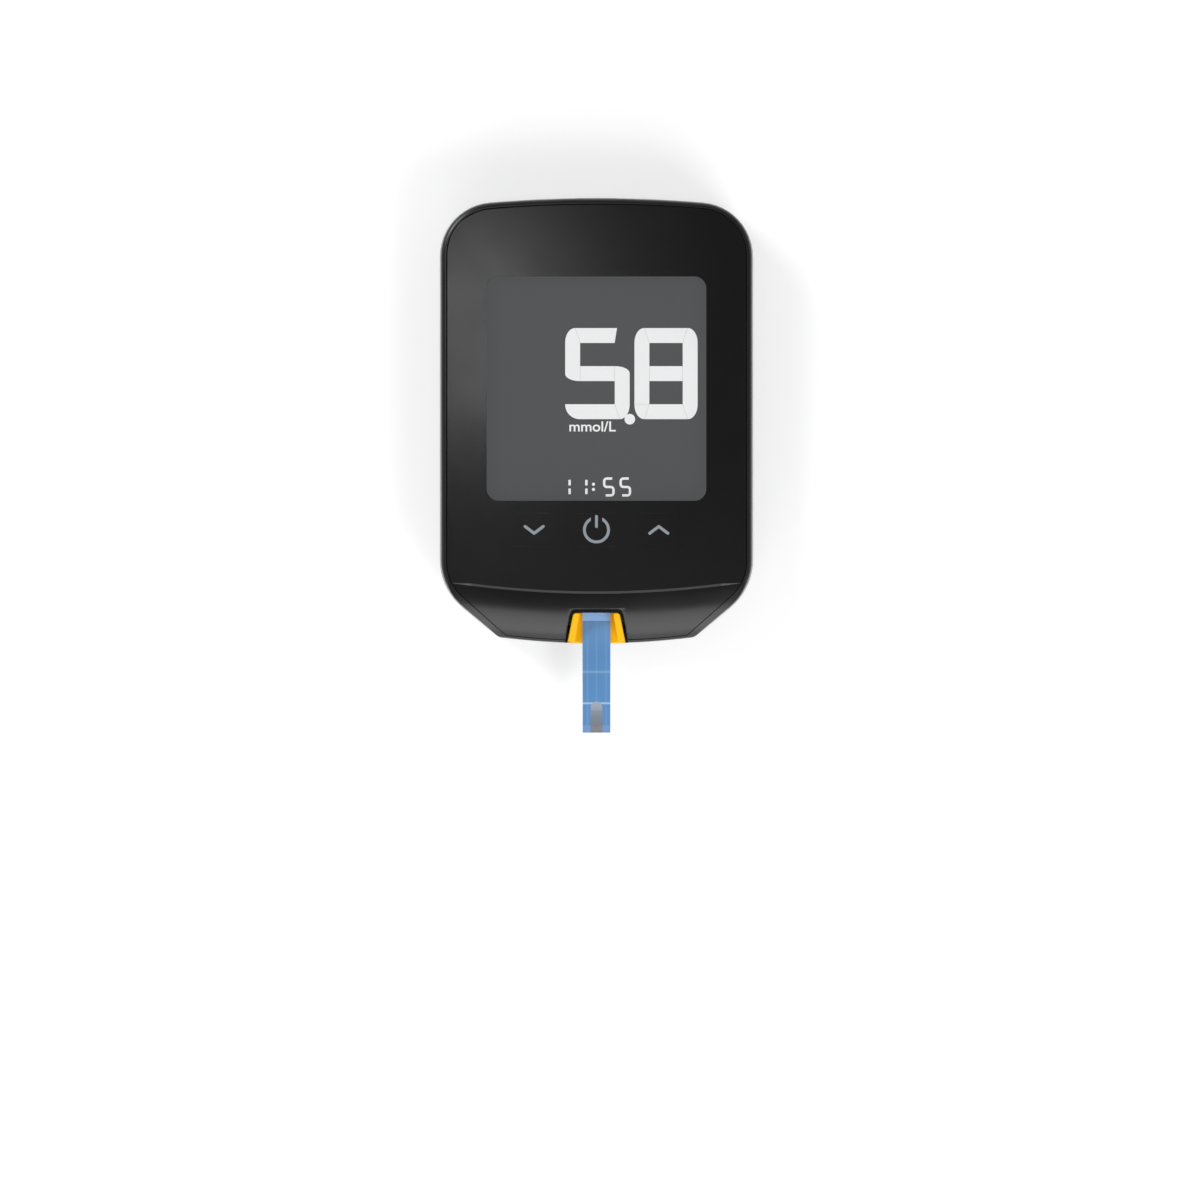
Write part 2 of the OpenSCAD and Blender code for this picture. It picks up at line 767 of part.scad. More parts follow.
// A row of small parts, from x on to the right
module part_row(x, y, size) {
  for (i = [0 : row_count - 1]) translate([x + row_pitch * i, y, board_top_z]) cube(size);
}

module small_parts() color("#b98b5a") {
  part_row(-bay_w * 0.37, window_c.y - bay_h * 0.23, resistor_size);
  part_row(bay_w * 0.05, window_c.y - bay_h * 0.15, capacitor_size);
  for (s = [-1, 1])
    translate([s * diode_x - diode_size.x / 2, bottom_y + diode_up, board_top_z]) cube(diode_size);
}

module buzzer() color("#2b2c30") translate([buzzer_x, key_y + buzzer_up, board_z - buzzer_t])
  difference() {
    cylinder(r = buzzer_r, h = buzzer_t);
    translate([0, 0, -overlap]) cylinder(r = sound_hole_r, h = overlap + 0.6);
  }

module strip_connector() color("#e6e2d6") difference() {
  translate([-connector_w / 2, connector_front_y, board_top_z])
    cube([connector_w, connector_back_y - connector_front_y, connector_top_z - board_top_z]);
  translate([-strip_w / 2 - connector_slot_gap, connector_front_y - overlap, strip_z - connector_slot_gap])
    cube([
      strip_w + 2 * connector_slot_gap,
      strip_top_y + 0.2 - connector_front_y + overlap,
      base_t + film_t + 2 * connector_slot_gap
    ]);
  // chamber over the contact pads, open at the back for the spring fingers
  translate([-strip_w / 2 - connector_slot_gap, strip_top_y - pad_l, strip_z + base_t])
    cube([strip_w + 2 * connector_slot_gap, pad_l + 2 + overlap, 1.5]);
}

// Spring fingers, from their tails on the board over the back of the connector to the pads
module strip_contacts() color("#d8b45a") {
  pad_z = strip_z + base_t + pad_t;
  top_z = strip_z + base_t + 1.2;
  tail_y = connector_back_y + 0.8;
  touch_y = strip_top_y - 2.4;
  for (i = [0 : pad_count - 1]) {
    x = (i - (pad_count - 1) / 2) * pad_pitch;
    along_x(x - finger_w / 2, x + finger_w / 2) polygon([
      [tail_y + 0.8, board_top_z], [tail_y + 0.8, board_top_z + finger_t],
      [tail_y, board_top_z + finger_t], [tail_y, top_z + finger_t],
      [touch_y + 1.6, top_z + finger_t], [touch_y, pad_z + finger_t],
      [touch_y - 1, pad_z + finger_t + 0.4], [touch_y - 1, pad_z + 0.4],
      [touch_y, pad_z], [touch_y + 1.6, top_z],
      [tail_y - finger_t, top_z], [tail_y - finger_t, board_top_z]
    ]);
  }
}

module usb_shell() color("#c4c6c9") translate([0, usb_front_y - usb_d, board_top_z]) difference() {
  translate([-usb_w / 2, 0, 0]) cube([usb_w, usb_d, usb_h]);
  translate([-usb_w / 2 + usb_wall, usb_wall, usb_wall])
    cube([usb_w - 2 * usb_wall, usb_d, usb_h - 2 * usb_wall]);
}

module usb_tongue() color("#1d1d1f") translate([0, usb_front_y - usb_d, board_top_z])
  translate([-1.9, usb_wall, usb_h / 2]) cube([3.8, usb_d - 1.6, 0.6]);

// ---- keys ----

module key_place(i) {
  translate([i * key_pitch, key_y, 0]) children();
}

// A straight stroke of a symbol, with round ends
module stroke(start, end) {
  translate(start) rotate(angle_of(end - start)) translate([0, -symbol_stroke / 2])
    square([norm(end - start), symbol_stroke]);
  for (p = [start, end]) translate(p) circle(symbol_stroke / 2, $fn = 24);
}

module chevron() {
  tip = [0, (symbol_stroke - chevron_h) / 2];
  for (s = [-1, 1]) stroke([s * (chevron_w - symbol_stroke) / 2, -tip.y], tip);
}

module power_mark() {
  difference() {
    circle(power_r);
    circle(power_r - symbol_stroke);
    translate([-2 * symbol_stroke, 0]) square([4 * symbol_stroke, 2 * power_r]);
  }
  stroke([0, 0.25 * power_r], [0, power_r]);
}

// A cap with lugs that catch behind the face plate; its symbol is inlaid in its top
module key_cap(i) {
  key_place(i) difference() {
    union() {
      prism(key_base_z, case_t) key_shape();
      for (s = [-1, 1]) translate([s * key_w / 2, 0, seat_z - key_lug_t / 2])
        cube([2 * key_lug_w, key_h - 2 * key_r, key_lug_t], center = true);
    }
    prism(case_t - symbol_t, case_t + overlap) children();
  }
}

module key_symbol(i) {
  key_place(i) prism(case_t - symbol_t, case_t) children();
}

// A hollow rubber cone that stands on the mat and carries a key.
// The core inside it meets the mat once the key has travelled its full way.
module key_spring(i) {
  bore_r = spring_head_r - spring_wall;
  core_z = mat_top_z + key_travel;
  key_place(i) rotate_extrude() polygon([
    [spring_foot_r - spring_wall, mat_top_z], [spring_foot_r, mat_top_z],
    [spring_head_r, key_base_z - 1], [spring_head_r, key_base_z],
    [0, key_base_z], [0, core_z], [core_r, core_z],
    [core_r, key_base_z - spring_head_t], [bore_r, key_base_z - spring_head_t]
  ]);
}

module keypad_mat() color("#8f9296") prism(board_top_z, mat_top_z)
  translate([0, mat_end_y - mat_h / 2]) rounded_rect(mat_w, mat_h, 1);

module down_key() color("#1c1c1e") key_cap(-1) chevron();
module centre_key() color("#1c1c1e") key_cap(0) power_mark();
module up_key() color("#1c1c1e") key_cap(1) mirror([0, 1]) chevron();
module down_symbol() color("#929ca1") key_symbol(-1) chevron();
module centre_symbol() color("#929ca1") key_symbol(0) power_mark();
module up_symbol() color("#929ca1") key_symbol(1) mirror([0, 1]) chevron();
module down_spring() color("#a5a8ab") key_spring(-1);
module centre_spring() color("#a5a8ab") key_spring(0);
module up_spring() color("#a5a8ab") key_spring(1);

// ---- coin cells ----

module coin_cell(s) color("#c8cacc") translate([s * cell_x, cell_y, door_channel_t]) {
  cylinder(r = cell_r, h = cell_t - 0.4);
  cylinder(r = cell_r - 1.4, h = cell_t);
}

module left_cell() coin_cell(-1);
module right_cell() coin_cell(1);

// Leaf springs from the board down to the middle of each cell
module negative_springs() color("#d9c07a") {
  cell_top = door_channel_t + cell_t;
  for (s = [-1, 1]) along_x(s * cell_x - 1.5, s * cell_x + 1.5) polygon([
    [cell_y - 7, board_z], [cell_y - 2, board_z], [cell_y - 2, board_z - contact_t],
    [cell_y - 4.6, board_z - contact_t], [cell_y + 1, cell_top + contact_t],
    [cell_y + 3, cell_top + contact_t], [cell_y + 3, cell_top], [cell_y + 0.8, cell_top],
    [cell_y - 5.2, board_z - contact_t], [cell_y - 7, board_z - contact_t]
  ]);
}

// Clips from the board down the side of each cell
module positive_clips() color("#d9c07a") {
  side_y = cell_y - cell_r - 0.05;
  for (s = [-1, 1]) along_x(s * cell_x - clip_w / 2, s * cell_x + clip_w / 2) polygon([
    [side_y, web_top_z + 0.2], [side_y, board_z], [side_y - 3, board_z],
    [side_y - 3, board_z - clip_t], [side_y - clip_t, board_z - clip_t],
    [side_y - clip_t, web_top_z + 0.2]
  ]);
}

module battery_door() color("#303134") difference() {
  intersection() {
    rear_envelope();
    along_y(door_start_y + door_gap, top_y + overlap) {
      translate([-door_mouth_w / 2 + door_gap, door_gap])
        square([door_mouth_w - 2 * door_gap, door_channel_t - 2 * door_gap]);
      translate([-door_slot_w / 2 + door_gap, door_lip_t + door_gap])
        square([door_slot_w - 2 * door_gap, door_channel_t - door_lip_t - 2 * door_gap]);
    }
  }
  for (i = [0 : grip_count - 1])
    translate([-grip_w / 2, top_y - grip_down - grip_pitch * i, door_gap + grip_depth - grip_r])
      rotate([0, 90, 0]) cylinder(r = grip_r, h = grip_w);
}

// ---- test strip ----

module strip_rect(y0, y1, w = strip_w) {
  translate([-w / 2, y0]) square([w, y1 - y0]);
}

module chamber_shape() {
  strip_rect(strip_end_y, strip_end_y + chamber_l - chamber_w / 2, chamber_w);
  translate([0, strip_end_y + chamber_l - chamber_w / 2]) circle(chamber_w / 2);
}

module strip_base() color("#dfe6ea") prism(strip_z, strip_z + base_t)
  strip_rect(strip_end_y, strip_top_y);

module strip_film() color("#5e91c5") prism(strip_z + base_t, strip_z + base_t + film_t) difference() {
  strip_rect(strip_end_y, strip_top_y - pad_l);
  chamber_shape();
}

module strip_chamber() color("#888e98") prism(strip_z + base_t, strip_z + base_t + film_t)
  chamber_shape();

module strip_electrodes() color("#4a4238") prism(strip_z + base_t, strip_z + base_t + pad_t)
  for (i = [0 : pad_count - 1]) translate([(i - (pad_count - 1) / 2) * pad_pitch, 0])
    strip_rect(strip_top_y - pad_l, strip_top_y, pad_w);

rear_cover();
rim_frame();
face_plate();
chin_cover();
port_insert();
display_lens();
lcd_segments();
lcd_panel();
light_guide();
backlight_leds();
lcd_frame();
zebra_connector();
main_board();
microcontroller();
memory_chip();
crystal();
small_parts();
buzzer();
strip_connector();
strip_contacts();
usb_shell();
usb_tongue();
keypad_mat();
down_key();
centre_key();
up_key();
down_symbol();
centre_symbol();
up_symbol();
down_spring();
centre_spring();
up_spring();
left_cell();
right_cell();
negative_springs();
positive_clips();
battery_door();
case_screws();
rear_label();
strip_base();
strip_film();
strip_chamber();
strip_electrodes();
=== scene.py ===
"""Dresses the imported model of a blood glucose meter: finishes, display, port, strip, back and stage."""

import json
import math
from contextlib import contextmanager

import bmesh
import bpy
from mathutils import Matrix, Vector


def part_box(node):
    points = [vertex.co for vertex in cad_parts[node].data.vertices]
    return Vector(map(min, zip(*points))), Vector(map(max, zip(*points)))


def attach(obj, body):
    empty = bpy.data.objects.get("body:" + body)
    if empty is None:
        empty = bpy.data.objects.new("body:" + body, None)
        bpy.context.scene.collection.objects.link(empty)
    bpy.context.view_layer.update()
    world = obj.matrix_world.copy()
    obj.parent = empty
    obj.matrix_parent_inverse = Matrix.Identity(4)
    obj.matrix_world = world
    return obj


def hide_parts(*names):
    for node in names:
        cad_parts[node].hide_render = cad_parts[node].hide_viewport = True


bl_info = {
    "name": "Blood glucose meter",
    "version": (1, 0, 0),
    "blender": (4, 5, 0),
    "location": "3D View > Sidebar > Meter",
    "description": "Dresses the packed model of a blood glucose meter",
    "category": "Object",
}

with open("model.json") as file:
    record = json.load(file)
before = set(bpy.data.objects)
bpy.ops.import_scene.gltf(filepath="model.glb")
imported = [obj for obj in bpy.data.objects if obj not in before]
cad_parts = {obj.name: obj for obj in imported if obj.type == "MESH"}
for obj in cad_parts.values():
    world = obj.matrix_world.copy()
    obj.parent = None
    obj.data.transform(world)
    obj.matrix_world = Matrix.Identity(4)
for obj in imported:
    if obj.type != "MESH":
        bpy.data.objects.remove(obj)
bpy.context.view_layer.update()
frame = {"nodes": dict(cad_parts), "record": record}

MM = 0.001
MERGE = 1e-6                # distance at which doubled vertices are one
SLIVER = 0.01 * MM          # widest sliver that is closed up after a cut
NEAR = 0.05 * MM            # how far a point may lie from the line that it belongs to
LEVEL = 0.999               # rise of a normal from which a face counts as level
SHARP = math.radians(25)    # angle from which an edge counts as sharp
SLOT_COLOUR = {m["slot"]: tuple(m["base_color"][:3]) for m in frame["record"]["materials"]}
FACE_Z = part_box("face_plate")[1].z
BOTTOM_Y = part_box("rear_cover")[0].y
SIDE_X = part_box("rear_cover")[1].x
STRIP_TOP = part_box("strip_film")[1].z


# ---- sizes and colours that a user would change ----


def length(name, description, default, high=0.05):
    return bpy.props.FloatProperty(
        name=name, description=description, default=default, min=0.0, max=high,
        precision=5, unit="LENGTH", subtype="DISTANCE")


def angle(name, description, default):
    return bpy.props.FloatProperty(
        name=name, description=description, default=math.radians(default), min=0.0, max=math.pi,
        unit="ROTATION", subtype="ANGLE")


def colour(name, description, default):
    return bpy.props.FloatVectorProperty(
        name=name, description=description, default=default, size=3, min=0.0, max=1.0,
        subtype="COLOR")


class MeterSizes(bpy.types.PropertyGroup):
    """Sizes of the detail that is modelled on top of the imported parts."""

    edge_round: length("Edge rounding", "Width of the rounding on moulded edges", 0.12 * MM)
    ridge_width: length("Ridge width", "Width of the bevelled band along the ridge line", 0.45 * MM)
    ridge_depth: length("Ridge depth", "Depth of the bevelled band along the ridge line", 0.21 * MM)
    ridge_radius: length("Ridge radius", "Radius of the ridge line, seen from the front", 190 * MM, high=1.0)
    chin_radius: length("Chin radius", "Radius of the chin's curved slope", 15.5 * MM)
    chin_start: angle("Chin slope", "Slope at which the chin starts behind the ridge", 10)
    # The lip is a dark piece over the strip that stands for the shade in the port's mouth.
    shade_lip_depth: length("Lip depth", "Depth of the lip over the strip, below the front", 1.9 * MM)
    notch_round: length("Notch rounding", "Width of the rounding around the port notch", 0.25 * MM)
    rib_round: length("Port rounding", "Rounding of the walls in the strip port", 0.2 * MM)
    guide_corner: length("Port corners", "Rounding of the strip guide's inner corners", 0.55 * MM)
    key_gap: length("Key gap", "Gap that stays visible around a key cap", 0.008 * MM)
    segment_gap: length("Segment gap", "Gap between neighbouring display segments", 0.03 * MM)
    digit_stroke: length("Digit stroke", "Stroke of the large digits", 2.9 * MM)
    clock_stroke: length("Clock stroke", "Stroke of the small clock digits", 0.46 * MM)


class MeterColours(bpy.types.PropertyGroup):
    """Colours of the finishes that show from outside."""

    case: colour("Case", "Rear cover and battery door", SLOT_COLOUR["case_plastic"])
    rim: colour("Rim", "Ring around the front panel", (0.011, 0.011, 0.0115))
    face: colour("Front panel", "Front panel and key caps", (0.0055, 0.0055, 0.0056))
    chin: colour("Chin", "Sloping lower front", (0.0045, 0.0045, 0.0047))
    port: colour("Strip port", "Insert that guides the strip", (0.78, 0.40, 0.003))
    symbols: colour("Symbols", "Symbols on the keys", SLOT_COLOUR["symbol_plastic"])
    display: colour("Display", "Backlit ground of the display", (0.081, 0.083, 0.085))
    digits: colour("Digits", "Lit display segments", (0.69, 0.70, 0.70))
    strip: colour("Test strip", "Film on the test strip", SLOT_COLOUR["strip_blue"])
    label: colour("Label", "Bare label on the back", SLOT_COLOUR["label_film"])


def sizes():
    return bpy.context.scene.meter_sizes


def colours():
    return bpy.context.scene.meter_colours


# ---- modelling helpers ----


def activate(piece):
    bpy.ops.object.select_all(action="DESELECT")
    piece.select_set(True)
    bpy.context.view_layer.objects.active = piece


@contextmanager
def editing(piece):
    activate(piece)
    bpy.ops.object.mode_set(mode="EDIT")
    yield
    bpy.ops.object.mode_set(mode="OBJECT")


def new_piece(name):
    """Names the piece that was just made."""
    piece = bpy.context.object
    piece.name = name
    piece.data.name = name
    return piece


def add_box(name, low, high):
    """A box primitive between two corners, its place in its mesh."""
    low, high = Vector(low), Vector(high)
    bpy.ops.mesh.primitive_cube_add(size=1, location=(low + high) / 2)
    piece = new_piece(name)
    piece.scale = high - low
    settle(piece)
    return piece


def settle(piece):
    """Puts the piece's place, turn and scale into its mesh."""
    activate(piece)
    bpy.ops.object.transform_apply(location=True, rotation=True, scale=True)


def select_whole():
    """Selects, in edit mode, all of the active piece."""
    bpy.ops.mesh.select_all(action="SELECT")


def pick(piece, kind, test):
    """Selects, in edit mode, the vertices, edges or faces (VERT, EDGE or FACE) that pass the test."""
    bpy.ops.mesh.select_mode(type=kind)
    bpy.ops.mesh.select_all(action="DESELECT")
    mesh = bmesh.from_edit_mesh(piece.data)
    for part in {"VERT": mesh.verts, "EDGE": mesh.edges, "FACE": mesh.faces}[kind]:
        if test(part):
            part.select_set(True)
    bmesh.update_edit_mesh(piece.data)


def pick_faces(piece, test):
    """Selects the faces whose centre and normal pass the test."""
    pick(piece, "FACE", lambda face: test(face.calc_center_median(), face.normal))


def pick_edges(piece, test):
    """Selects the sharp edges whose two ends pass the test."""

    def passes(edge):
        is_sharp = len(edge.link_faces) != 2 or edge.calc_face_angle(0) > SHARP
        return is_sharp and test(edge.verts[0].co, edge.verts[1].co)

    pick(piece, "EDGE", passes)


def pick_brink(piece, test):
    """Selects the edges between a top face and a wall whose middle passes the test."""

    def passes(edge):
        rises = sorted(face.normal.z for face in edge.link_faces)
        middle = (edge.verts[0].co + edge.verts[1].co) / 2
        return len(rises) == 2 and rises[0] < 0.3 and rises[1] > 0.5 and test(middle)

    pick(piece, "EDGE", passes)


def round_edges(piece, test, width, segments=2):
    with editing(piece):
        pick_edges(piece, test)
        bpy.ops.mesh.bevel(offset=width, segments=segments, affect="EDGES", clamp_overlap=False)


def copy_of_node(node, name, joined=True):
    """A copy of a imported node, with its doubles merged and, where asked, its flat faces joined."""
    mesh = frame["nodes"][node].data.copy()
    mesh.materials.clear()
    piece = bpy.data.objects.new(name, mesh)
    mesh.name = name
    bpy.context.collection.objects.link(piece)
    with editing(piece):
        select_whole()
        bpy.ops.mesh.remove_doubles(threshold=MERGE)
        if joined:
            bpy.ops.mesh.dissolve_limited(angle_limit=math.radians(0.2))
    return piece


def trim(piece, tool, operation):
    """Keeps what the piece and the tool share, or takes the tool away; the tool is deleted."""
    activate(piece)
    cut = piece.modifiers.new("trim", "BOOLEAN")
    cut.operation = operation
    cut.solver = "EXACT"
    cut.object = tool
    bpy.ops.object.modifier_apply(modifier=cut.name)
    bpy.data.objects.remove(tool)


def slope_solid(drop):
    """The solid below the chin's slope, lowered by drop: a disc spun about the centre of the ridge line."""
    bend, start = sizes().chin_radius, sizes().chin_start
    centre_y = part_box("face_plate")[0].y + sizes().ridge_radius
    reach = sizes().ridge_radius - bend * math.sin(start)
    sweep = 2 * math.asin(1.1 * SIDE_X / sizes().ridge_radius)
    place = (reach * math.sin(sweep / 2), centre_y - reach * math.cos(sweep / 2),
             FACE_Z - bend * math.cos(start) - drop)
    bpy.ops.mesh.primitive_circle_add(vertices=240, radius=bend, fill_type="NGON", location=place,
                                      rotation=(0, math.pi / 2, sweep / 2))
    solid = new_piece("slope")
    settle(solid)
    with editing(solid):
        select_whole()
        bpy.ops.mesh.spin(steps=48, angle=sweep, center=(0, centre_y, 0), axis=(0, 0, 1))
        select_whole()
        bpy.ops.mesh.remove_doubles(threshold=MERGE)
        bpy.ops.mesh.normals_make_consistent(inside=False)
    return solid


def close_slivers():
    """Closes, in edit mode, the slivers that a cut has left on the active piece."""
    select_whole()
    bpy.ops.mesh.remove_doubles(threshold=SLIVER)
    bpy.ops.mesh.dissolve_degenerate(threshold=SLIVER)


def on_slope(centre, normal):
    """Whether a face lies along the chin's slope, within a few degrees."""
    most_tilt = math.radians(4)
    bend, start = sizes().chin_radius, sizes().chin_start
    centre_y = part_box("face_plate")[0].y + sizes().ridge_radius
    out = Vector((centre.x, centre.y - centre_y))
    rise = (out.length - sizes().ridge_radius) / bend + math.sin(start)
    if not math.sin(start) * 0.5 < rise < 1:
        return False
    side = out.normalized() * rise
    slope_normal = Vector((side.x, side.y, math.sqrt(1 - rise * rise)))
    return normal.dot(slope_normal) > math.cos(most_tilt)


def with_smooth_slope(node, name, drop, corner=0.0):
    """A copy of a node whose sloping top is cut anew by one spun surface; its inner upright corners
    may be rounded first."""
    piece = copy_of_node(node, name)
    raised, shortest = 3 * MM, 1 * MM     # rise of the top before it is cut, least height of a corner
    if corner:
        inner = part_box(node)[1].y
        round_edges(piece, lambda a, b: min(a.y, b.y) > inner - NEAR and abs(a.x - b.x) < NEAR
                    and abs(a.z - b.z) > shortest, corner, segments=6)
    with editing(piece):
        pick_faces(piece, lambda centre, normal: normal.z > 0.3 and centre.z > STRIP_TOP)
        bpy.ops.transform.translate(value=(0, 0, raised))
    trim(piece, slope_solid(drop), "INTERSECT")
    with editing(piece):
        close_slivers()
    return piece


def round_brink(piece, test, width):
    """Rounds the edges between top faces and walls, after joining vertices that lie too close."""
    with editing(piece):
        pick_brink(piece, test)
        bpy.ops.mesh.remove_doubles(threshold=width / 2)
        pick_brink(piece, test)
        bpy.ops.mesh.bevel(offset=width, segments=4, affect="EDGES", clamp_overlap=False, loop_slide=False)
        select_whole()
        bpy.ops.mesh.vert_connect_nonplanar(angle_limit=math.radians(2))


def join(name, pieces):
    """Joins several pieces into the first one."""
    activate(pieces[0])
    for piece in pieces:
        piece.select_set(True)
    bpy.ops.object.join()
    return new_piece(name)


def finish_piece(piece, body, material, nodes, smooth=35, weight=100, flat=None):
    """Shades and paints a finished piece, sets it under its body and hides the nodes that it stands for. Its
    corners take the normals of its large faces, or, where flat is given, the faces that pass it are shaded
    flat."""
    activate(piece)
    bpy.ops.object.shade_smooth_by_angle(angle=math.radians(smooth))
    if flat:
        with editing(piece):
            pick_faces(piece, flat)
            bpy.ops.mesh.faces_shade_flat()
    else:
        weigh = piece.modifiers.new("weigh", "WEIGHTED_NORMAL")
        weigh.weight = weight
        weigh.keep_sharp = True
        bpy.ops.object.modifier_apply(modifier=weigh.name)
    piece.data.materials.clear()
    piece.data.materials.append(material)
    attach(piece, body)
    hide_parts(*nodes)


def paint(node, material):
    """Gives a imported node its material."""
    mesh = frame["nodes"][node].data
    mesh.materials.clear()
    mesh.materials.append(material)


# ---- materials ----


class Tree:
    """Short calls for adding and linking shader nodes."""

    def __init__(self, tree):
        self.tree = tree

    def add(self, kind, settings=None, **inputs):
        node = self.tree.nodes.new(kind)
        for key, value in (settings or {}).items():
            setattr(node, key, value)
        self.feed(node, **inputs)
        return node

    def feed(self, node, **inputs):
        """Links or sets inputs, named with _ for a space, or by their place as i0, i1 and so on."""
        for name, value in inputs.items():
            socket = node.inputs[int(name[1:]) if name[1:].isdigit() else name.replace("_", " ")]
            if isinstance(value, bpy.types.NodeSocket):
                self.tree.links.new(value, socket)
            elif socket.type == "RGBA" and len(value) == 3:
                socket.default_value = (*value, 1.0)
            else:
                socket.default_value = value

    def math(self, operation, a, b=0.0, clamp=False):
        return self.add("ShaderNodeMath", {"operation": operation, "use_clamp": clamp}, i0=a, i1=b).outputs[0]

    def span(self, value, start, end, low, high, kind="LINEAR"):
        """Carries a value from between start and end to between low and high."""
        return self.add("ShaderNodeMapRange", {"interpolation_type": kind}, Value=value,
                        i1=start, i2=end, i3=low, i4=high).outputs[0]

    def ramp(self, value, stops):
        """A colour ramp with (position, colour) stops."""
        node = self.add("ShaderNodeValToRGB", i0=value)
        elements = node.color_ramp.elements
        while len(elements) < len(stops):
            elements.new(0.5)
        for element, (position, shade) in zip(elements, stops):
            element.position = position
            element.color = (*shade, 1.0)
        return node.outputs["Color"]

    def mix(self, factor, a, b):
        return self.add("ShaderNodeMix", {"data_type": "RGBA"}, i0=factor, i6=a, i7=b).outputs[2]

    def mottled(self, mask, shade, low, high, margin=0.3):
        """A colour that wanders with the mask between low and high times its strength."""
        return self.ramp(mask, [(margin, tuple(c * low for c in shade)),
                                (1 - margin, tuple(c * high for c in shade))])

    def bump(self, height, strength, distance=0.02 * MM):
        return self.add("ShaderNodeBump", Strength=strength, Distance=distance, Height=height).outputs[0]


def group(name, inputs, outputs, build):
    """A shader node group, built once; build gets the tree and the inputs and returns the outputs."""
    if name in bpy.data.node_groups:
        return bpy.data.node_groups[name]
    tree = bpy.data.node_groups.new(name, "ShaderNodeTree")
    for label, kind, default in inputs:
        socket = tree.interface.new_socket(label, in_out="INPUT", socket_type=kind)
        if default is not None:
            socket.default_value = default
    for label, kind in outputs:
        tree.interface.new_socket(label, in_out="OUTPUT", socket_type=kind)
    t = Tree(tree)
    source = tree.nodes.new("NodeGroupInput").outputs
    target = tree.nodes.new("NodeGroupOutput").inputs
    for label, value in build(t, source).items():
        tree.links.new(value, target[label])
    return tree


def moulded_grain():
    """Fine spark-eroded grain of moulded plastic, with a mask of slow variation over the part."""

    def build(t, source):
        fine = t.add("ShaderNodeTexNoise", Vector=source["Vector"], Scale=source["Grain Scale"],
                     Detail=3.0, Roughness=0.6)
        slow = t.add("ShaderNodeTexNoise", Vector=source["Vector"], Scale=source["Mottle Scale"],
                     Detail=2.0, Roughness=0.5)
        return {"Height": fine.outputs[0], "Mottle": slow.outputs[0]}

    return group(
        "moulded_grain",
        [("Vector", "NodeSocketVector", None), ("Grain Scale", "NodeSocketFloat", 6000.0),
         ("Mottle Scale", "NodeSocketFloat", 60.0)],
        [("Height", "NodeSocketFloat"), ("Mottle", "NodeSocketFloat")],
        build)


def edge_wear_and_sheen():
    """Mask of edges that handling has polished, which also serves as a painted highlight where edges catch
    light, broken up by noise.
    """

    def build(t, source):
        rounded = t.add("ShaderNodeBevel", {"samples": 4}, Radius=source["Reach"])
        true = t.add("ShaderNodeNewGeometry")
        facing = t.add("ShaderNodeVectorMath", {"operation": "DOT_PRODUCT"},
                       i0=rounded.outputs[0], i1=true.outputs["Normal"]).outputs["Value"]
        bend = t.math("MULTIPLY", t.math("SUBTRACT", 1.0, facing), 6.0, clamp=True)
        noise = t.add("ShaderNodeTexNoise", Vector=source["Vector"], Scale=source["Scale"], Detail=4.0)
        return {"Mask": t.math("MULTIPLY", bend, noise.outputs[0])}

    return group(
        "edge_wear_and_sheen",
        [("Vector", "NodeSocketVector", None), ("Reach", "NodeSocketFloat", 0.0003),
         ("Scale", "NodeSocketFloat", 900.0)],
        [("Mask", "NodeSocketFloat")],
        build)


def new_material(name):
    """A material with a principled shader; returns it, its tree, its shader and object coordinates."""
    material = bpy.data.materials.new(name)
    material.use_nodes = True
    t = Tree(material.node_tree)
    shader = material.node_tree.nodes["Principled BSDF"]
    place = t.add("ShaderNodeTexCoord").outputs["Object"]
    return material, t, shader, place


def grained(t, place, scale=6000.0):
    """The moulded grain's height and its mask of slow variation."""
    grain = t.add("ShaderNodeGroup", {"node_tree": moulded_grain()}, Vector=place, Grain_Scale=scale)
    return grain.outputs["Height"], grain.outputs["Mottle"]


def plastic(name, shade, roughness, grain=0.25, grain_scale=6000.0, mottle=0.06, wear_and_sheen=0.0,
            specular=0.5, lift=0.25):
    """Moulded or coated plastic: grained, slightly uneven in gloss, paler on edges, partly as wear and partly
    as a painted highlight.
    """
    if name in bpy.data.materials:
        return bpy.data.materials[name]
    material, t, shader, place = new_material(name)
    height, uneven = grained(t, place, grain_scale)
    base = t.mottled(uneven, shade, 1 - mottle, 1 + mottle, margin=0.35)
    if wear_and_sheen:
        # Paler edges: partly wear, partly a painted highlight where edges catch light.
        wear_and_sheen_mask = t.add("ShaderNodeGroup", {"node_tree": edge_wear_and_sheen()}, Vector=place)
        pale = tuple(c + (1 - c) * lift for c in shade)
        base = t.mix(t.math("MULTIPLY", wear_and_sheen_mask.outputs["Mask"], wear_and_sheen), base, pale)
    t.feed(shader, Base_Color=base, Roughness=t.span(uneven, 0.3, 0.7, roughness * 0.92, roughness * 1.08),
           Specular_IOR_Level=specular, Normal=t.bump(height, grain))
    return material


def metal(name, shade, roughness, brushed=(1.0, 14.0, 1.0), scale=900.0):
    """Plated or rolled metal with fine drawn lines."""
    material, t, shader, place = new_material(name)
    drawn = t.add("ShaderNodeMapping", Vector=place, Scale=brushed)
    lines = t.add("ShaderNodeTexNoise", Vector=drawn.outputs[0], Scale=scale, Detail=4.0).outputs[0]
    low, high = (tuple(min(1.0, c * k) for c in shade) for k in (0.86, 1.1))
    t.feed(shader, Base_Color=t.ramp(lines, [(0.3, low), (0.7, high)]), Metallic=1.0,
           Roughness=t.span(lines, 0.3, 0.7, roughness * 0.8, roughness * 1.25), Normal=t.bump(lines, 0.2))
    return material


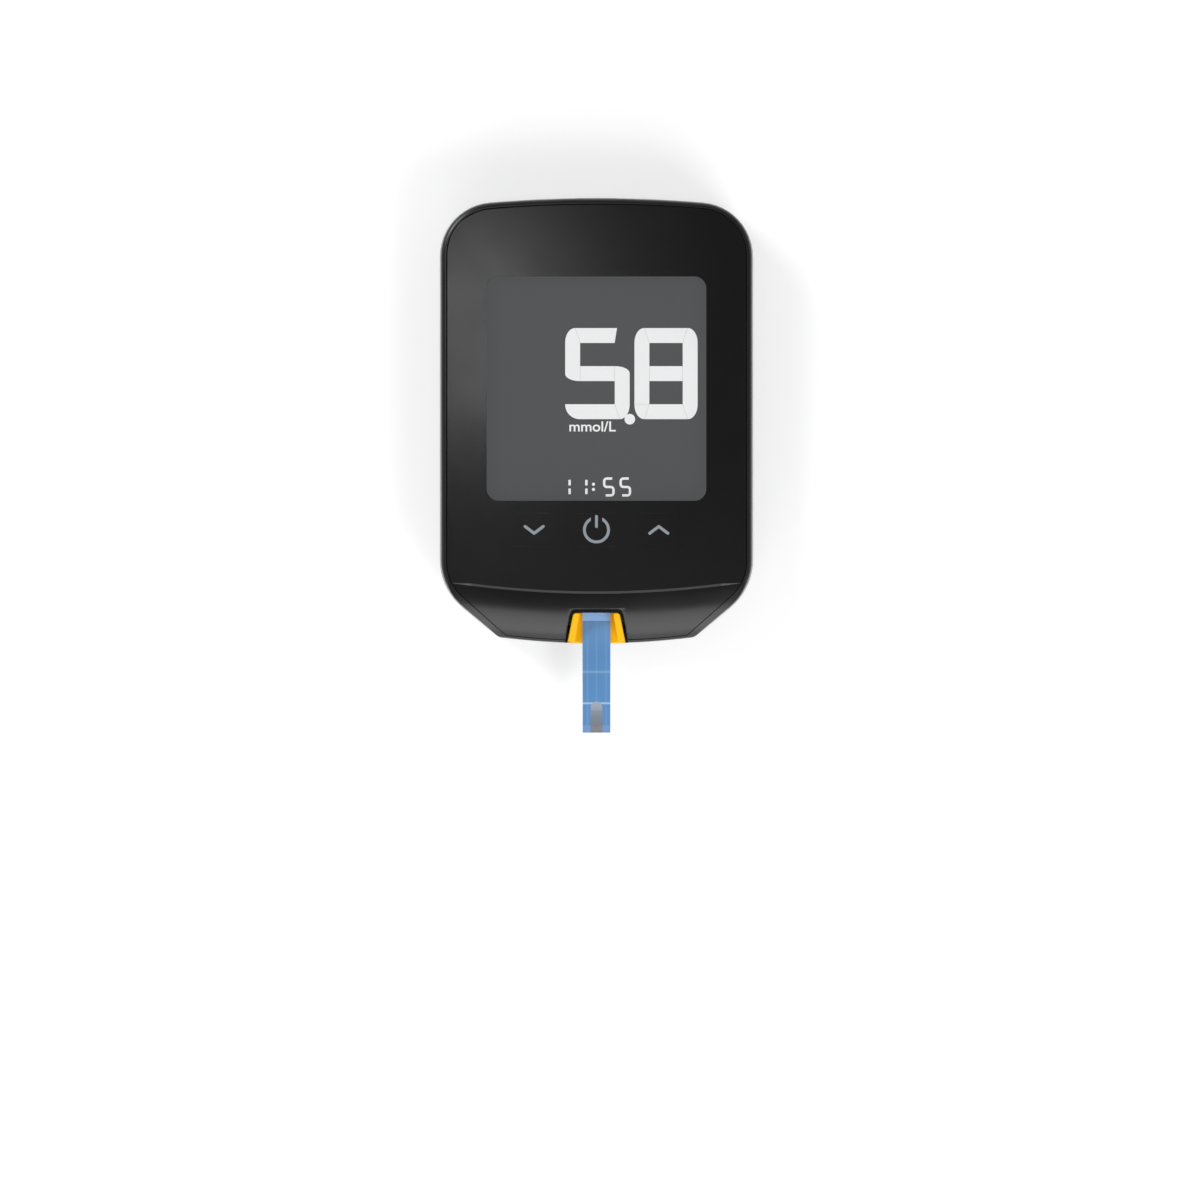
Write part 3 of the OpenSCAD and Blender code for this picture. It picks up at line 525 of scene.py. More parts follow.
def lens_material():
    """Hard-coated window: a nearly clear film that only dulls what lies under it."""
    material, t, shader, place = new_material("hard_coated_window")
    height, uneven = grained(t, place)
    t.feed(shader, Base_Color=(0.09, 0.092, 0.095), Alpha=t.span(uneven, 0.3, 0.7, 0.05, 0.07),
           Roughness=0.3, Specular_IOR_Level=0.3, Normal=t.bump(height, 0.1, 0.01 * MM))
    return material


def display_material():
    """Polarised display glass, evenly lit from behind."""
    material, t, shader, place = new_material("polarised_glass")
    height, uneven = grained(t, place)
    t.feed(shader, Base_Color=(0.01, 0.01, 0.01), Roughness=0.6, Specular_IOR_Level=0.1,
           Emission_Color=t.mottled(uneven, colours().display, 0.985, 1.015), Emission_Strength=1.0,
           Normal=t.bump(height, 0.05, 0.01 * MM))
    return material


def lit_material():
    """Lit segments of the display."""
    material, t, shader, place = new_material("lit_segment")
    uneven = grained(t, place)[1]
    t.feed(shader, Base_Color=(0.3, 0.3, 0.3), Roughness=0.6, Specular_IOR_Level=0.1,
           Emission_Color=t.mottled(uneven, colours().digits, 0.985, 1.0), Emission_Strength=1.0)
    return material


def band(t, value, middle, width, blur):
    """1 inside a band of the given width around middle, fading out over blur."""
    away = t.math("ABSOLUTE", t.math("SUBTRACT", value, middle))
    return t.span(away, width / 2 - blur / 2, width / 2 + blur / 2, 1.0, 0.0, "SMOOTHSTEP")


def strip_material():
    """Blue film of the strip, with the printed tracks and laminated bands that show through it; paler towards
    the port and glowing in its mouth as painted light against the port's shade.
    """
    material, t, shader, place = new_material("printed_strip_film")
    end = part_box("strip_film")[0].y
    axes = t.add("ShaderNodeSeparateXYZ", i0=place)
    x, y = axes.outputs[0], axes.outputs[1]
    height, uneven = grained(t, place)
    shade = t.mottled(uneven, colours().strip, 0.95, 1.05)
    track_blue = (0.24, 0.40, 0.66)
    for middle, width, weight in ((-1.75, 0.36, 0.3), (0.02, 0.30, 0.32), (1.85, 0.36, 0.3),
                                  (-2.6, 0.16, 0.5), (2.6, 0.16, 0.5)):
        track = band(t, x, middle * MM, width * MM, 0.25 * MM)
        shade = t.mix(t.math("MULTIPLY", track, weight), shade, track_blue)
    for middle, width, tint, weight in ((11.74, 0.42, (0.30, 0.48, 0.70), 0.55),
                                        (5.68, 0.34, (0.46, 0.62, 0.82), 0.9)):
        seam = band(t, y, end + middle * MM, width * MM, 0.2 * MM)
        shade = t.mix(t.math("MULTIPLY", seam, weight), shade, tint)
    # Painted light: the film turns paler towards the port, to cancel the shade that the chin casts on it
    # there.
    port = t.span(y, end + 14 * MM, end + 22 * MM, 0.0, 0.35, "SMOOTHSTEP")
    shade = t.mix(port, shade, (0.24, 0.47, 0.86))
    tip = band(t, y, end, 2.9 * MM, 0.1 * MM)
    # The band in the port's mouth is a lighter print. It is made paler still and given a faint glow as
    # painted light, so that the port's shade does not darken it.
    print_and_glow_band = band(t, y, end + 23.1 * MM, 3.0 * MM, 0.1 * MM)
    for cover, tint in ((tip, (0.20, 0.35, 0.65)), (print_and_glow_band, (0.42, 0.66, 1.0))):
        shade = t.mix(t.math("MULTIPLY", cover, 0.85), shade, tint)
    t.feed(shader, Base_Color=shade, Emission_Color=t.mix(print_and_glow_band, (0.0, 0.0, 0.0), (0.0, 0.03, 0.12)),
           Emission_Strength=1.0, Roughness=0.42, Specular_IOR_Level=0.3, Normal=t.bump(height, 0.15))
    return material


def chamber_material():
    """Sample chamber: grey reagent under clear film, paler at its round end and at its mouth."""
    material, t, shader, place = new_material("reagent_chamber")
    low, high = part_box("strip_chamber")
    along = t.span(t.add("ShaderNodeSeparateXYZ", i0=place).outputs[1], low.y, high.y, 0.0, 1.0)
    shade = t.ramp(along, [
        (0.0, (0.25, 0.26, 0.27)), (0.19, (0.25, 0.26, 0.27)), (0.22, (0.21, 0.23, 0.28)),
        (0.45, (0.22, 0.26, 0.33)), (0.70, (0.27, 0.33, 0.42)), (0.74, (0.34, 0.40, 0.50)),
        (1.0, (0.44, 0.50, 0.60))])
    speckle = t.ramp(grained(t, place)[0], [(0.3, (0.1, 0.1, 0.1)), (0.7, (0.5, 0.5, 0.5))])
    t.feed(shader, Base_Color=t.mix(0.12, shade, speckle), Roughness=0.25)
    return material


def board_material():
    """Solder mask with copper tracks under it."""
    material, t, shader, place = new_material("solder_mask")
    tracks = t.add("ShaderNodeTexBrick", {"offset": 0.37}, Vector=place, Scale=220.0, Mortar_Size=0.03,
                   Color1=(0.010, 0.12, 0.035), Color2=(0.014, 0.16, 0.05), Mortar=(0.03, 0.28, 0.09))
    t.feed(shader, Base_Color=tracks.outputs["Color"], Roughness=0.3,
           Normal=t.bump(tracks.outputs["Fac"], 0.3, 0.03 * MM))
    return material


# ---- pieces ----


class METER_OT_case(bpy.types.Operator):
    """Make the rear cover and the rim with rounded moulded edges"""

    bl_idname = "meter.case"
    bl_label = "Case"

    def execute(self, context):
        self.rear()
        self.rim()
        return {"FINISHED"}

    @staticmethod
    def rear():
        """The back shell, its outer edges rounded and those of the label's recess left as they are."""
        rear = copy_of_node("rear_cover", "rear_shell")
        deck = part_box("rear_label")[1].z
        rounded_depth, recess_depth, rounding = 2.2 * MM, 0.6 * MM, 0.1 * MM
        round_edges(rear, lambda a, b: max(a.z, b.z) < rounded_depth and abs(a.z - b.z) < MERGE
                    and not deck * 0.5 < a.z < recess_depth, rounding)
        finish_piece(rear, "case",
                     plastic("textured_case", colours().case, 0.52, grain=0.9, grain_scale=4200.0,
                             mottle=0.1, wear_and_sheen=0.5, lift=0.05), ["rear_cover"])

    @staticmethod
    def rim():
        """The ring around the front, made alike on both sides, its slope cut anew like the chin's."""
        rim = copy_of_node("rim_frame", "rim", joined=False)
        with editing(rim):
            select_whole()
            bpy.ops.mesh.symmetrize(direction="POSITIVE_X", threshold=SLIVER)
        drop, past_ridge, floor = 0.08 * MM, 1.36 * MM, 5 * MM
        wide, ahead, above = 1.05 * SIDE_X, 20 * MM, 2 * MM
        air = add_box("air", (-wide, BOTTOM_Y - ahead, floor),
                      (wide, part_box("chin_cover")[1].y + past_ridge, FACE_Z + above))
        trim(air, slope_solid(drop), "DIFFERENCE")
        trim(rim, air, "DIFFERENCE")
        with editing(rim):
            close_slivers()
            pick_faces(rim, lambda centre, normal: on_slope(centre, normal)
                       or normal.z > LEVEL and centre.z > FACE_Z - MERGE)
            bpy.ops.mesh.region_to_loop()
            bpy.ops.mesh.mark_sharp()
        finish_piece(rim, "case",
                     plastic("satin_rim", colours().rim, 0.24, grain=0.15, wear_and_sheen=0.3, lift=0.05),
                     ["rim_frame"], smooth=30, weight=50)


class METER_OT_front_panel(bpy.types.Operator):
    """Make the front panel with its softened outer edge"""

    bl_idname = "meter.front_panel"
    bl_label = "Front panel"

    def execute(self, context):
        panel = copy_of_node("face_plate", "front_panel")
        window_low, window_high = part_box("display_lens")
        half_width, keys_reach = SIDE_X * 0.75, 9 * MM    # where the window and the key openings lie
        radius = sizes().ridge_radius
        centre = Vector((0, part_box("face_plate")[0].y + radius))

        def ridge(a, b, inset=0.0):
            return min(a.z, b.z) > FACE_Z - MERGE and all(
                abs((end.xy - centre).length - radius + inset) < NEAR and end.y < window_low.y
                for end in (a, b))

        def outer(a, b):
            on_top = min(a.z, b.z) > FACE_Z - MERGE
            inside = abs(a.x) < half_width and window_low.y - keys_reach < a.y < window_high.y
            return on_top and not inside and not ridge(a, b, width)

        def level_or_band(centre, normal):
            """Whether a face is level or part of the band along the ridge."""
            return normal.z > LEVEL or normal.z > 0.8 and normal.y < -0.35

        width, depth = sizes().ridge_width, sizes().ridge_depth
        round_edges(panel, ridge, width, segments=1)
        with editing(panel):
            pick(panel, "VERT", lambda vert: vert.co.y < window_low.y
                 and abs(vert.co.z - (FACE_Z - width)) < 0.02 * MM)
            bpy.ops.transform.translate(value=(0, 0, width - depth))
        round_edges(panel, outer, sizes().edge_round, segments=4)
        finish_piece(panel, "case", panel_finish(), ["face_plate"], flat=level_or_band)
        return {"FINISHED"}


def panel_finish():
    return plastic("satin_panel", colours().face, 0.185, grain=0.06, grain_scale=9000.0, mottle=0.04)


class METER_OT_chin(bpy.types.Operator):
    """Make the chin with the rounded edge of its port notch"""

    bl_idname = "meter.chin"
    bl_label = "Chin"

    def execute(self, context):
        chin = with_smooth_slope("chin_cover", "chin", sizes().ridge_depth)
        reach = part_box("port_insert")[1].x + 1.2 * MM
        front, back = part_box("chin_cover")[0].y + 0.15 * MM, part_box("chin_cover")[1].y - 3 * MM

        def in_notch(p):
            return abs(p.x) < reach and front < p.y < back

        round_brink(chin, in_notch, sizes().notch_round)
        with editing(chin):
            pick_brink(chin, lambda p: not in_notch(p))
            bpy.ops.mesh.mark_sharp()
        self.add_shade_lip(chin)
        finish_piece(chin, "case", chin_finish(), ["chin_cover"])
        return {"FINISHED"}

    @staticmethod
    def add_shade_lip(chin):
        """Adds the lip over the strip, sunk behind the notch, that closes the mouth of the port: a dark piece
        put where the mouth lies in shade, as painted shade.
        """
        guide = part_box("port_insert")[1]
        wall, behind, reach, above = 0.95 * MM, 0.04 * MM, 1.2 * MM, 0.25 * MM
        half = guide.x - wall
        # Painted shade: a dark piece of the chin's plastic over the strip, where the port's mouth lies in
        # shade.
        lip = add_box("lip", (-half, guide.y + behind, STRIP_TOP + above),
                      (half, guide.y + reach, FACE_Z - sizes().shade_lip_depth))
        trim(chin, lip, "UNION")


def chin_finish():
    return plastic("satin_chin", colours().chin, 0.24, grain=0.12, grain_scale=9000.0, mottle=0.04)


class METER_OT_port_insert(bpy.types.Operator):
    """Make the yellow strip guide with its rounded walls"""

    bl_idname = "meter.port_insert"
    bl_label = "Port insert"

    def execute(self, context):
        drop = 0.5 * MM
        guide = with_smooth_slope("port_insert", "strip_guide", drop, sizes().guide_corner)
        round_brink(guide, lambda p: p.z > STRIP_TOP, sizes().rib_round)
        finish_piece(guide, "case", guide_finish(), ["port_insert"])
        return {"FINISHED"}


def guide_finish():
    """Yellow plastic with a painted glow, so that its hollows stay bright where they would lie in shade."""
    finish = plastic("yellow_guide", colours().port, 0.45, grain=0.15, mottle=0.03, specular=0.12)
    # Painted light: an even emission that keeps the guide's shaded hollows as bright as its walls.
    Tree(finish.node_tree).feed(finish.node_tree.nodes["Principled BSDF"],
                                Emission_Color=tuple(colours().port), Emission_Strength=0.22)
    return finish


class METER_OT_display(bpy.types.Operator):
    """Finish the window and the display glass, and make the lit segments"""

    bl_idname = "meter.display"
    bl_label = "Display"

    def execute(self, context):
        low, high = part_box("lcd_segments")
        paint("display_lens", lens_material())
        paint("lcd_panel", display_material())
        left, right, top, bottom = -6.04 * MM, 19.5 * MM, 17.8 * MM, 0.23 * MM
        width, narrower = 12.45 * MM, 0.25 * MM    # of the five, and what the eight lacks of it
        point_x, point_radius = 6.42 * MM, 1.02 * MM
        lit = [
            self.digit("five", left, left + width, bottom, top, low.z, high.z),
            self.digit("eight", right - width + narrower, right, bottom, top, low.z, high.z),
            self.dot(point_x, bottom, point_radius, low.z, high.z),
            *self.clock(low.z, high.z),
            self.unit(low.z, high.z),
        ]
        segments = join("lit_segments", lit)
        finish_piece(segments, "case", lit_material(), ["lcd_segments"])
        return {"FINISHED"}

    def digit(self, figure, x0, x1, y0, y1, z0, z1):
        """A seven-segment figure: a plane is cut into rows and strokes, its unlit parts are deleted,
        its corners are rounded and its segments are set apart."""
        stroke = sizes().digit_stroke
        corner = stroke * 0.97
        steep, slight = 0.33, 0.16            # how far the lines in the top and bottom bars lean outwards
        bpy.ops.mesh.primitive_plane_add(size=1, location=((x0 + x1) / 2, (y0 + y1) / 2, z0))
        piece = new_piece(figure)
        piece.scale = (x1 - x0, y1 - y0, 1)
        settle(piece)
        left, right = x0 + stroke, x1 - stroke
        middle = (y0 + y1) / 2
        rows = (y0 + stroke, middle - stroke / 2, middle + stroke / 2, y1 - stroke)
        is_five = figure == "five"
        with editing(piece):
            for y in rows:
                self.cut(piece, lambda c: True, (0, y, 0), (0, 1, 0))
            for x, side in ((left, -1), (right, 1)):
                self.cut(piece, lambda c: rows[0] < c.y < rows[3], (x, 0, 0), (1, 0, 0))
                lean = side * (slight if is_five and side > 0 else steep)
                self.cut(piece, lambda c: c.y > rows[3], (x, rows[3], 0), (1, -lean, 0))
                if not (is_five and side < 0):
                    self.cut(piece, lambda c: c.y < rows[0], (x, rows[0], 0), (1, side * steep, 0))

            def unlit(c, normal):
                upper, lower = rows[2] < c.y < rows[3], rows[0] < c.y < rows[1]
                if is_five and ((c.x > right and c.y > rows[2]) or (c.x < left and lower)):
                    return True
                return left < c.x < right and (upper or lower)

            pick_faces(piece, unlit)
            bpy.ops.mesh.delete(type="FACE")
            self.merge_strokes(piece, rows, left, right, is_five)
            corners = [(x0, y1), (x0, y0), (x1, y0)] + ([] if is_five else [(x1, y1)])
            self.round_corners(piece, corners, corner)
            if is_five:
                self.stretch(2)
                self.round_corners(piece, [(x0, 2 * rows[1]), (x1, 2 * rows[2])], corner)
                self.stretch(0.5)
            bpy.ops.mesh.select_mode(type="FACE")
            select_whole()
            bpy.ops.mesh.inset(thickness=sizes().segment_gap / 2, depth=0, use_individual=True)
            bpy.ops.mesh.select_all(action="INVERT")
            bpy.ops.mesh.delete(type="FACE")
            select_whole()
            bpy.ops.mesh.extrude_region_move(TRANSFORM_OT_translate={"value": (0, 0, z1 - z0)})
            select_whole()
            bpy.ops.mesh.normals_make_consistent(inside=False)
        return piece

    @staticmethod
    def cut(piece, test, point, normal):
        """Cuts the faces whose centre passes the test along a plane."""
        pick_faces(piece, lambda centre, _: test(centre))
        bpy.ops.mesh.bisect(plane_co=point, plane_no=Vector(normal).normalized(), threshold=MERGE)

    @staticmethod
    def merge_strokes(piece, rows, left, right, is_five):
        """Joins the faces of each upright stroke, except where a line crosses it."""

        def passes(edge):
            a, b = (vert.co for vert in edge.verts)
            x, y = (a.x + b.x) / 2, (a.y + b.y) / 2
            level = abs(a.y - b.y) < MERGE and len(edge.link_faces) == 2
            kept = not is_five and x < left and abs(y - rows[0]) < MERGE
            return level and not kept and not left < x < right

        pick(piece, "EDGE", passes)
        bpy.ops.mesh.dissolve_edges(use_verts=False)

    @staticmethod
    def stretch(factor):
        """Stretches the figure upwards or back again, so that round corners become oval ones."""
        select_whole()
        bpy.ops.transform.resize(value=(1, factor, 1), center_override=(0, 0, 0))

    @staticmethod
    def round_corners(piece, corners, radius):
        pick(piece, "VERT", lambda vert: any((vert.co.xy - Vector(c)).length < SLIVER for c in corners))
        bpy.ops.mesh.bevel(offset=radius, segments=12, affect="VERTICES", clamp_overlap=False)

    @staticmethod
    def dot(x, y, radius, z0, z1):
        bpy.ops.mesh.primitive_cylinder_add(vertices=40, radius=radius, depth=z1 - z0,
                                            location=(x, y, (z0 + z1) / 2))
        piece = new_piece("dot")
        settle(piece)
        with editing(piece):
            pick_edges(piece, lambda a, b: min(a.z, b.z) > z1 - MERGE)
            bpy.ops.mesh.bevel(offset=0.02 * MM, segments=2, affect="EDGES")
        return piece

    @staticmethod
    def stroke(points, z0, z1):
        """A line through the points: a bevelled curve, flattened to the segments' thickness."""
        curve = bpy.data.curves.new("stroke", "CURVE")
        curve.dimensions = "3D"
        line = curve.splines.new("POLY")
        line.points.add(len(points) - 1)
        for point, (x, y) in zip(line.points, points):
            point.co = (x, y, 0, 1)
        curve.bevel_depth = sizes().clock_stroke / 2
        curve.bevel_resolution = 4
        curve.use_fill_caps = True
        piece = bpy.data.objects.new("stroke", curve)
        bpy.context.collection.objects.link(piece)
        activate(piece)
        bpy.ops.object.convert(target="MESH")
        piece = bpy.context.object
        piece.location.z = (z0 + z1) / 2
        piece.scale.z = (z1 - z0) / sizes().clock_stroke
        settle(piece)
        return piece

    @staticmethod
    def arc_through(corners, radius, steps=5):
        """A path through the corners, with every inner corner rounded."""
        path = [Vector(corners[0])]
        for before, corner, after in zip(corners, corners[1:], corners[2:]):
            before, corner, after = Vector(before), Vector(corner), Vector(after)
            start = corner + (before - corner).normalized() * radius
            end = corner + (after - corner).normalized() * radius
            for i in range(steps + 1):
                s = i / steps
                path.append(start * (1 - s) ** 2 + corner * 2 * s * (1 - s) + end * s * s)
        path.append(Vector(corners[-1]))
        return path

    def clock(self, z0, z1):
        """The small clock line: two ones, a colon and two fives."""
        y0, y1 = -14.45 * MM, -11.2 * MM
        middle = (y0 + y1) / 2
        end, gap, width, corner = 0.25 * MM, 0.3 * MM, 1.8 * MM, 0.6 * MM
        colon_x, colon_radius = -0.58 * MM, 0.3 * MM
        pieces = []
        for x in (-5.17 * MM, -1.94 * MM):
            pieces.append(self.stroke([(x, y1 - end), (x, middle + gap)], z0, z1))
            pieces.append(self.stroke([(x, middle - gap), (x, y0 + end)], z0, z1))
        for y in (-12.3 * MM, -13.3 * MM):
            pieces.append(self.dot(colon_x, y, colon_radius, z0, z1))
        for x in (1.48 * MM, 4.66 * MM):
            right = x + width
            five = [(right - end, y1), (x, y1), (x, middle), (right, middle), (right, y0), (x + gap, y0)]
            pieces.append(self.stroke(self.arc_through(five, corner), z0, z1))
        return pieces

    @staticmethod
    def unit(z0, z1):
        """The measuring unit under the large digits, in the default typeface."""
        bpy.ops.object.text_add(location=(-5.35 * MM, -2.1 * MM, z0))
        words = bpy.context.object
        words.data.body = "mmol/L"
        words.data.size = 2.75 * MM
        words.data.offset = 0.035 * MM
        words.data.extrude = (z1 - z0) / 2
        bpy.ops.object.convert(target="MESH")
        piece = new_piece("unit")
        piece.scale.x = 8.93 * MM / piece.dimensions.x
        piece.location.z = (z0 + z1) / 2
        settle(piece)
        with editing(piece):
            select_whole()
            bpy.ops.mesh.remove_doubles(threshold=MERGE)
        return piece


class METER_OT_keys(bpy.types.Operator):
    """Make the three key caps, and finish their symbols and rubber springs"""

    bl_idname = "meter.keys"
    bl_label = "Keys"

    def execute(self, context):
        inlay = plastic("pale_inlay", colours().symbols, 0.4, grain=0.1, mottle=0.03)
        rubber = plastic("moulded_rubber", SLOT_COLOUR["key_rubber"], 0.7, grain=0.4, mottle=0.08,
                         specular=0.3)
        for side in ("down", "centre", "up"):
            self.cap(side)
            paint(f"{side}_symbol", inlay)
            paint(f"{side}_spring", rubber)
        paint("keypad_mat", rubber)
        return {"FINISHED"}

    @staticmethod
    def cap(side):
        """A key cap whose top reaches out to the panel, so that only a hairline stays open."""
        cap = copy_of_node(f"{side}_key", f"{side}_cap")
        low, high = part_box(f"{side}_key")
        centre = (low + high) / 2
        lug, corner, open_gap = 0.8 * MM, 1.2 * MM, 0.12 * MM
        half = Vector(((high.x - low.x) / 2 - lug, (high.y - low.y) / 2))
        grow = open_gap - sizes().key_gap

        def on_rim(vert):
            out = Vector((max(0.0, abs(vert.co[i] - centre[i]) - half[i] + corner) for i in (0, 1)))
            return vert.co.z > FACE_Z - MERGE and out.length > corner - NEAR

        with editing(cap):
            pick(cap, "VERT", on_rim)
            bpy.ops.transform.resize(value=(1 + grow / half.x, 1 + grow / half.y, 1), center_override=centre)
        finish_piece(cap, f"{side}_button", panel_finish(), [f"{side}_key"])


class METER_OT_test_strip(bpy.types.Operator):
    """Finish the test strip: base, printed film, sample chamber and contact pads"""

    bl_idname = "meter.test_strip"
    bl_label = "Test strip"

    def execute(self, context):
        paint("strip_base", plastic("white_polyester", SLOT_COLOUR["strip_polyester"], 0.35, mottle=0.03))
        film = copy_of_node("strip_film", "printed_film")
        round_edges(film, lambda a, b: min(a.z, b.z) > STRIP_TOP - MERGE, 0.02 * MM)
        finish_piece(film, "test_strip", strip_material(), ["strip_film"])
        paint("strip_chamber", chamber_material())
        paint("strip_electrodes", plastic("printed_carbon", SLOT_COLOUR["strip_carbon"], 0.6, grain=0.6))
        return {"FINISHED"}


class METER_OT_battery_door(bpy.types.Operator):
    """Finish the battery door, whose plate has grip grooves"""

    bl_idname = "meter.battery_door"
    bl_label = "Battery door"

    def execute(self, context):
        door = copy_of_node("battery_door", "sliding_door")
        finish_piece(door, "door", bpy.data.materials["textured_case"], ["battery_door"])
        return {"FINISHED"}


class METER_OT_screws(bpy.types.Operator):
    """Finish the case screws"""

    bl_idname = "meter.screws"
    bl_label = "Screws"

    def execute(self, context):
        paint("case_screws", metal("zinc_plate", SLOT_COLOUR["steel"], 0.32))
        return {"FINISHED"}


class METER_OT_rear_label(bpy.types.Operator):
    """Finish the bare label plate on the back"""

    bl_idname = "meter.rear_label"
    bl_label = "Rear label"

    def execute(self, context):
        paint("rear_label", plastic("matt_label", colours().label, 0.6, grain=0.3, mottle=0.05))
        return {"FINISHED"}


class METER_OT_inner_parts(bpy.types.Operator):
    """Finish what the case holds: board, chips, display stack, connectors, cells and contacts"""

    bl_idname = "meter.inner_parts"
    bl_label = "Inner parts"

    def execute(self, context):
        resin = plastic("moulded_resin", SLOT_COLOUR["chip_resin"], 0.55, grain=0.6)
        white = plastic("white_frame", SLOT_COLOUR["frame_plastic"], 0.5)
        gilt = metal("plated_bronze", SLOT_COLOUR["contact_metal"], 0.25)
        tin = metal("bright_steel", SLOT_COLOUR["steel"], 0.25)
        finishes = {
            board_material(): ["main_board"],
            resin: ["microcontroller", "memory_chip", "usb_tongue"],
            white: ["lcd_frame", "strip_connector"],
            gilt: ["strip_contacts", "negative_springs", "positive_clips"],
            tin: ["usb_shell", "crystal"],
            metal("cell_can", SLOT_COLOUR["cell_steel"], 0.22, (1, 1, 1), 300.0): ["left_cell", "right_cell"],
            plastic("clear_acrylic", SLOT_COLOUR["light_guide_plastic"], 0.12, grain=0.02): ["light_guide"],
            plastic("cast_resin", SLOT_COLOUR["led_resin"], 0.2, grain=0.02): ["backlight_leds"],
            plastic("layered_silicone", SLOT_COLOUR["zebra_rubber"], 0.6): ["zebra_connector"],
            plastic("fired_ceramic", SLOT_COLOUR["component_ceramic"], 0.4): ["small_parts"],
            plastic("sounder_case", SLOT_COLOUR["buzzer_plastic"], 0.45): ["buzzer"],
        }
        for material, nodes in finishes.items():
            for node in nodes:
                paint(node, material)
        return {"FINISHED"}


# ---- stage ----


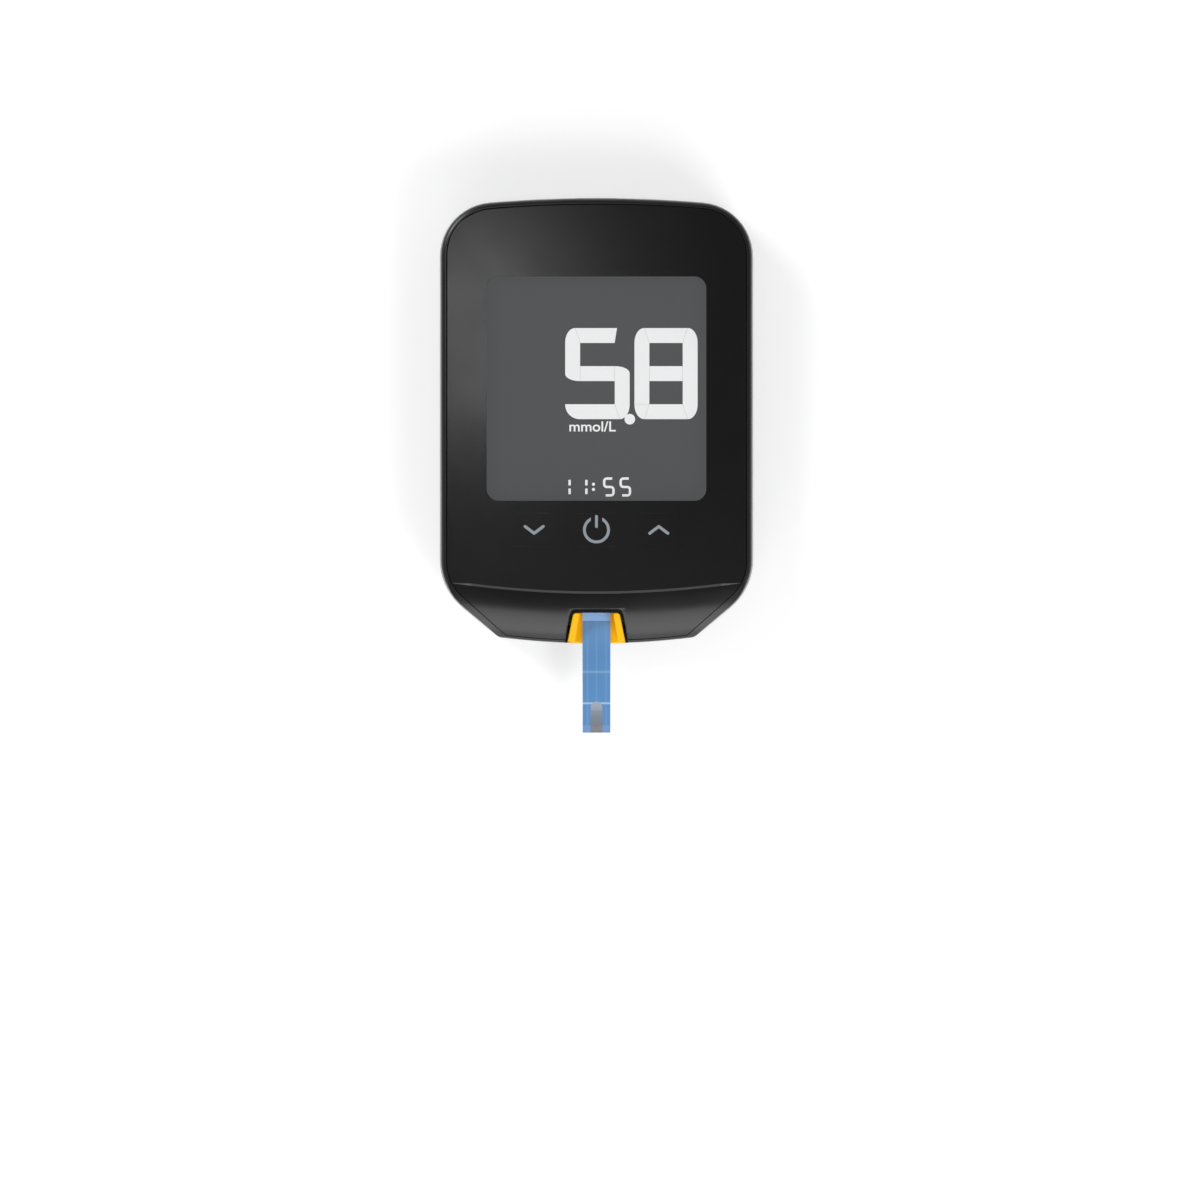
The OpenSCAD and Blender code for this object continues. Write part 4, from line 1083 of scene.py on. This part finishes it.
class METER_OT_stage(bpy.types.Operator):
    """Set up the pale floor, the soft studio light and the camera above the meter"""

    bl_idname = "meter.stage"
    bl_label = "Stage"

    def execute(self, context):
        self.floor()
        self.world()
        self.softbox("key_softbox", (-0.025, 0.0237, 0.316), (0.0207, 0.0416), 6.0, level=True)
        self.softbox("front_softbox", (0.0, -0.62, 0.25), (0.9, 0.44), 1.9)
        self.softbox("ridge_softbox", (0.0, -0.038, 0.316), (0.09, 0.014), 0.5, level=True)
        self.softbox("main_lamp", (-0.55, 0.45, 0.70), (0.35, 0.35), 8.0)
        self.softbox("fill_lamp", (0.45, -0.52, 0.70), (0.35, 0.35), 7.0)
        self.camera()
        bpy.context.scene.view_settings.view_transform = "Standard"
        return {"FINISHED"}

    @staticmethod
    def floor():
        """A pale plane that looks white to the camera and still takes the shadow."""
        side, below = 6.0, 0.05 * MM
        bpy.ops.mesh.primitive_plane_add(size=side, location=(0, 0, -below))
        floor = new_piece("floor")
        with editing(floor):
            select_whole()
            bpy.ops.mesh.subdivide(number_cuts=4)
        material, t, shader, place = new_material("pale_floor")
        mottle = t.add("ShaderNodeTexNoise", Vector=place, Scale=3.0, Detail=2.0).outputs[0]
        t.feed(shader, Base_Color=t.ramp(mottle, [(0.3, (0.70, 0.70, 0.70)), (0.7, (0.72, 0.72, 0.72))]),
               Roughness=0.9, Specular_IOR_Level=0.1)
        path = t.add("ShaderNodeLightPath").outputs
        seen = t.math("MAXIMUM", path["Is Camera Ray"],
                      t.math("MAXIMUM", path["Is Glossy Ray"], path["Is Transmission Ray"]))
        glow = t.add("ShaderNodeEmission", Color=(1, 1, 1), Strength=t.math("MULTIPLY", seen, 0.5))
        both = t.add("ShaderNodeAddShader", i0=shader.outputs[0], i1=glow.outputs[0])
        output = material.node_tree.nodes["Material Output"]
        material.node_tree.links.new(both.outputs[0], output.inputs["Surface"])
        floor.data.materials.append(material)

    @staticmethod
    def world():
        """A studio that is dim overhead and pale towards the horizon."""
        world = bpy.data.worlds.new("studio")
        bpy.context.scene.world = world
        world.use_nodes = True
        t = Tree(world.node_tree)
        towards = t.add("ShaderNodeTexCoord").outputs["Generated"]
        height = t.add("ShaderNodeSeparateXYZ", i0=towards).outputs[2]
        shade = t.ramp(height, [(0.0, (0.9, 0.9, 0.91)), (0.35, (0.75, 0.75, 0.76)),
                                (0.75, (0.2, 0.2, 0.2)), (1.0, (0.09, 0.09, 0.09))])
        t.feed(world.node_tree.nodes["Background"], Color=shade, Strength=1.0)

    @staticmethod
    def softbox(name, place, size, radiance, level=False):
        """An area lamp of the given radiance that faces the meter, or straight down if level."""
        lamp = bpy.data.lights.new(name, "AREA")
        lamp.shape = "RECTANGLE"
        lamp.size, lamp.size_y = size
        lamp.energy = radiance * math.pi * size[0] * size[1]
        softbox = bpy.data.objects.new(name, lamp)
        bpy.context.collection.objects.link(softbox)
        softbox.location = place
        if not level:
            softbox.rotation_euler = (-Vector(place)).to_track_quat("-Z", "Y").to_euler()
        softbox.visible_camera = False

    @staticmethod
    def camera():
        """Straight above the meter, far away, its view 231 mm wide at the front."""
        lens = bpy.data.cameras.new("camera")
        camera = bpy.data.objects.new("camera", lens)
        bpy.context.collection.objects.link(camera)
        distance, view_width, aim = 3.0, 231.0 * MM, (0.68 * MM, -34.6 * MM)
        camera.location = (*aim, FACE_Z + distance)
        lens.lens = lens.sensor_width * distance / view_width
        lens.clip_start, lens.clip_end = 0.01, 20.0
        bpy.context.scene.camera = camera


# ---- panel and registration ----

STEPS = [METER_OT_case, METER_OT_front_panel, METER_OT_chin, METER_OT_port_insert, METER_OT_display,
         METER_OT_keys, METER_OT_test_strip, METER_OT_battery_door, METER_OT_screws,
         METER_OT_rear_label, METER_OT_inner_parts, METER_OT_stage]


class METER_PT_sidebar(bpy.types.Panel):
    """Lists the sizes, colours and steps of the meter."""

    bl_idname = "METER_PT_sidebar"
    bl_label = "Blood glucose meter"
    bl_space_type = "VIEW_3D"
    bl_region_type = "UI"
    bl_category = "Meter"

    def draw(self, context):
        for settings in (context.scene.meter_sizes, context.scene.meter_colours):
            box = self.layout.box()
            for name in settings.__annotations__:
                box.prop(settings, name)
        for step in STEPS:
            self.layout.operator(step.bl_idname)


CLASSES = [MeterSizes, MeterColours, *STEPS, METER_PT_sidebar]


def register():
    for cls in CLASSES:
        bpy.utils.register_class(cls)
    bpy.types.Scene.meter_sizes = bpy.props.PointerProperty(type=MeterSizes)
    bpy.types.Scene.meter_colours = bpy.props.PointerProperty(type=MeterColours)


def unregister():
    del bpy.types.Scene.meter_sizes
    del bpy.types.Scene.meter_colours
    for cls in reversed(CLASSES):
        bpy.utils.unregister_class(cls)


def main():
    register()
    for step in STEPS:
        result = getattr(bpy.ops.meter, step.bl_idname.split(".")[1])()
        if result != {"FINISHED"}:
            raise RuntimeError(f"{step.bl_idname} didn't finish")


if __name__ == "__main__":
    main()
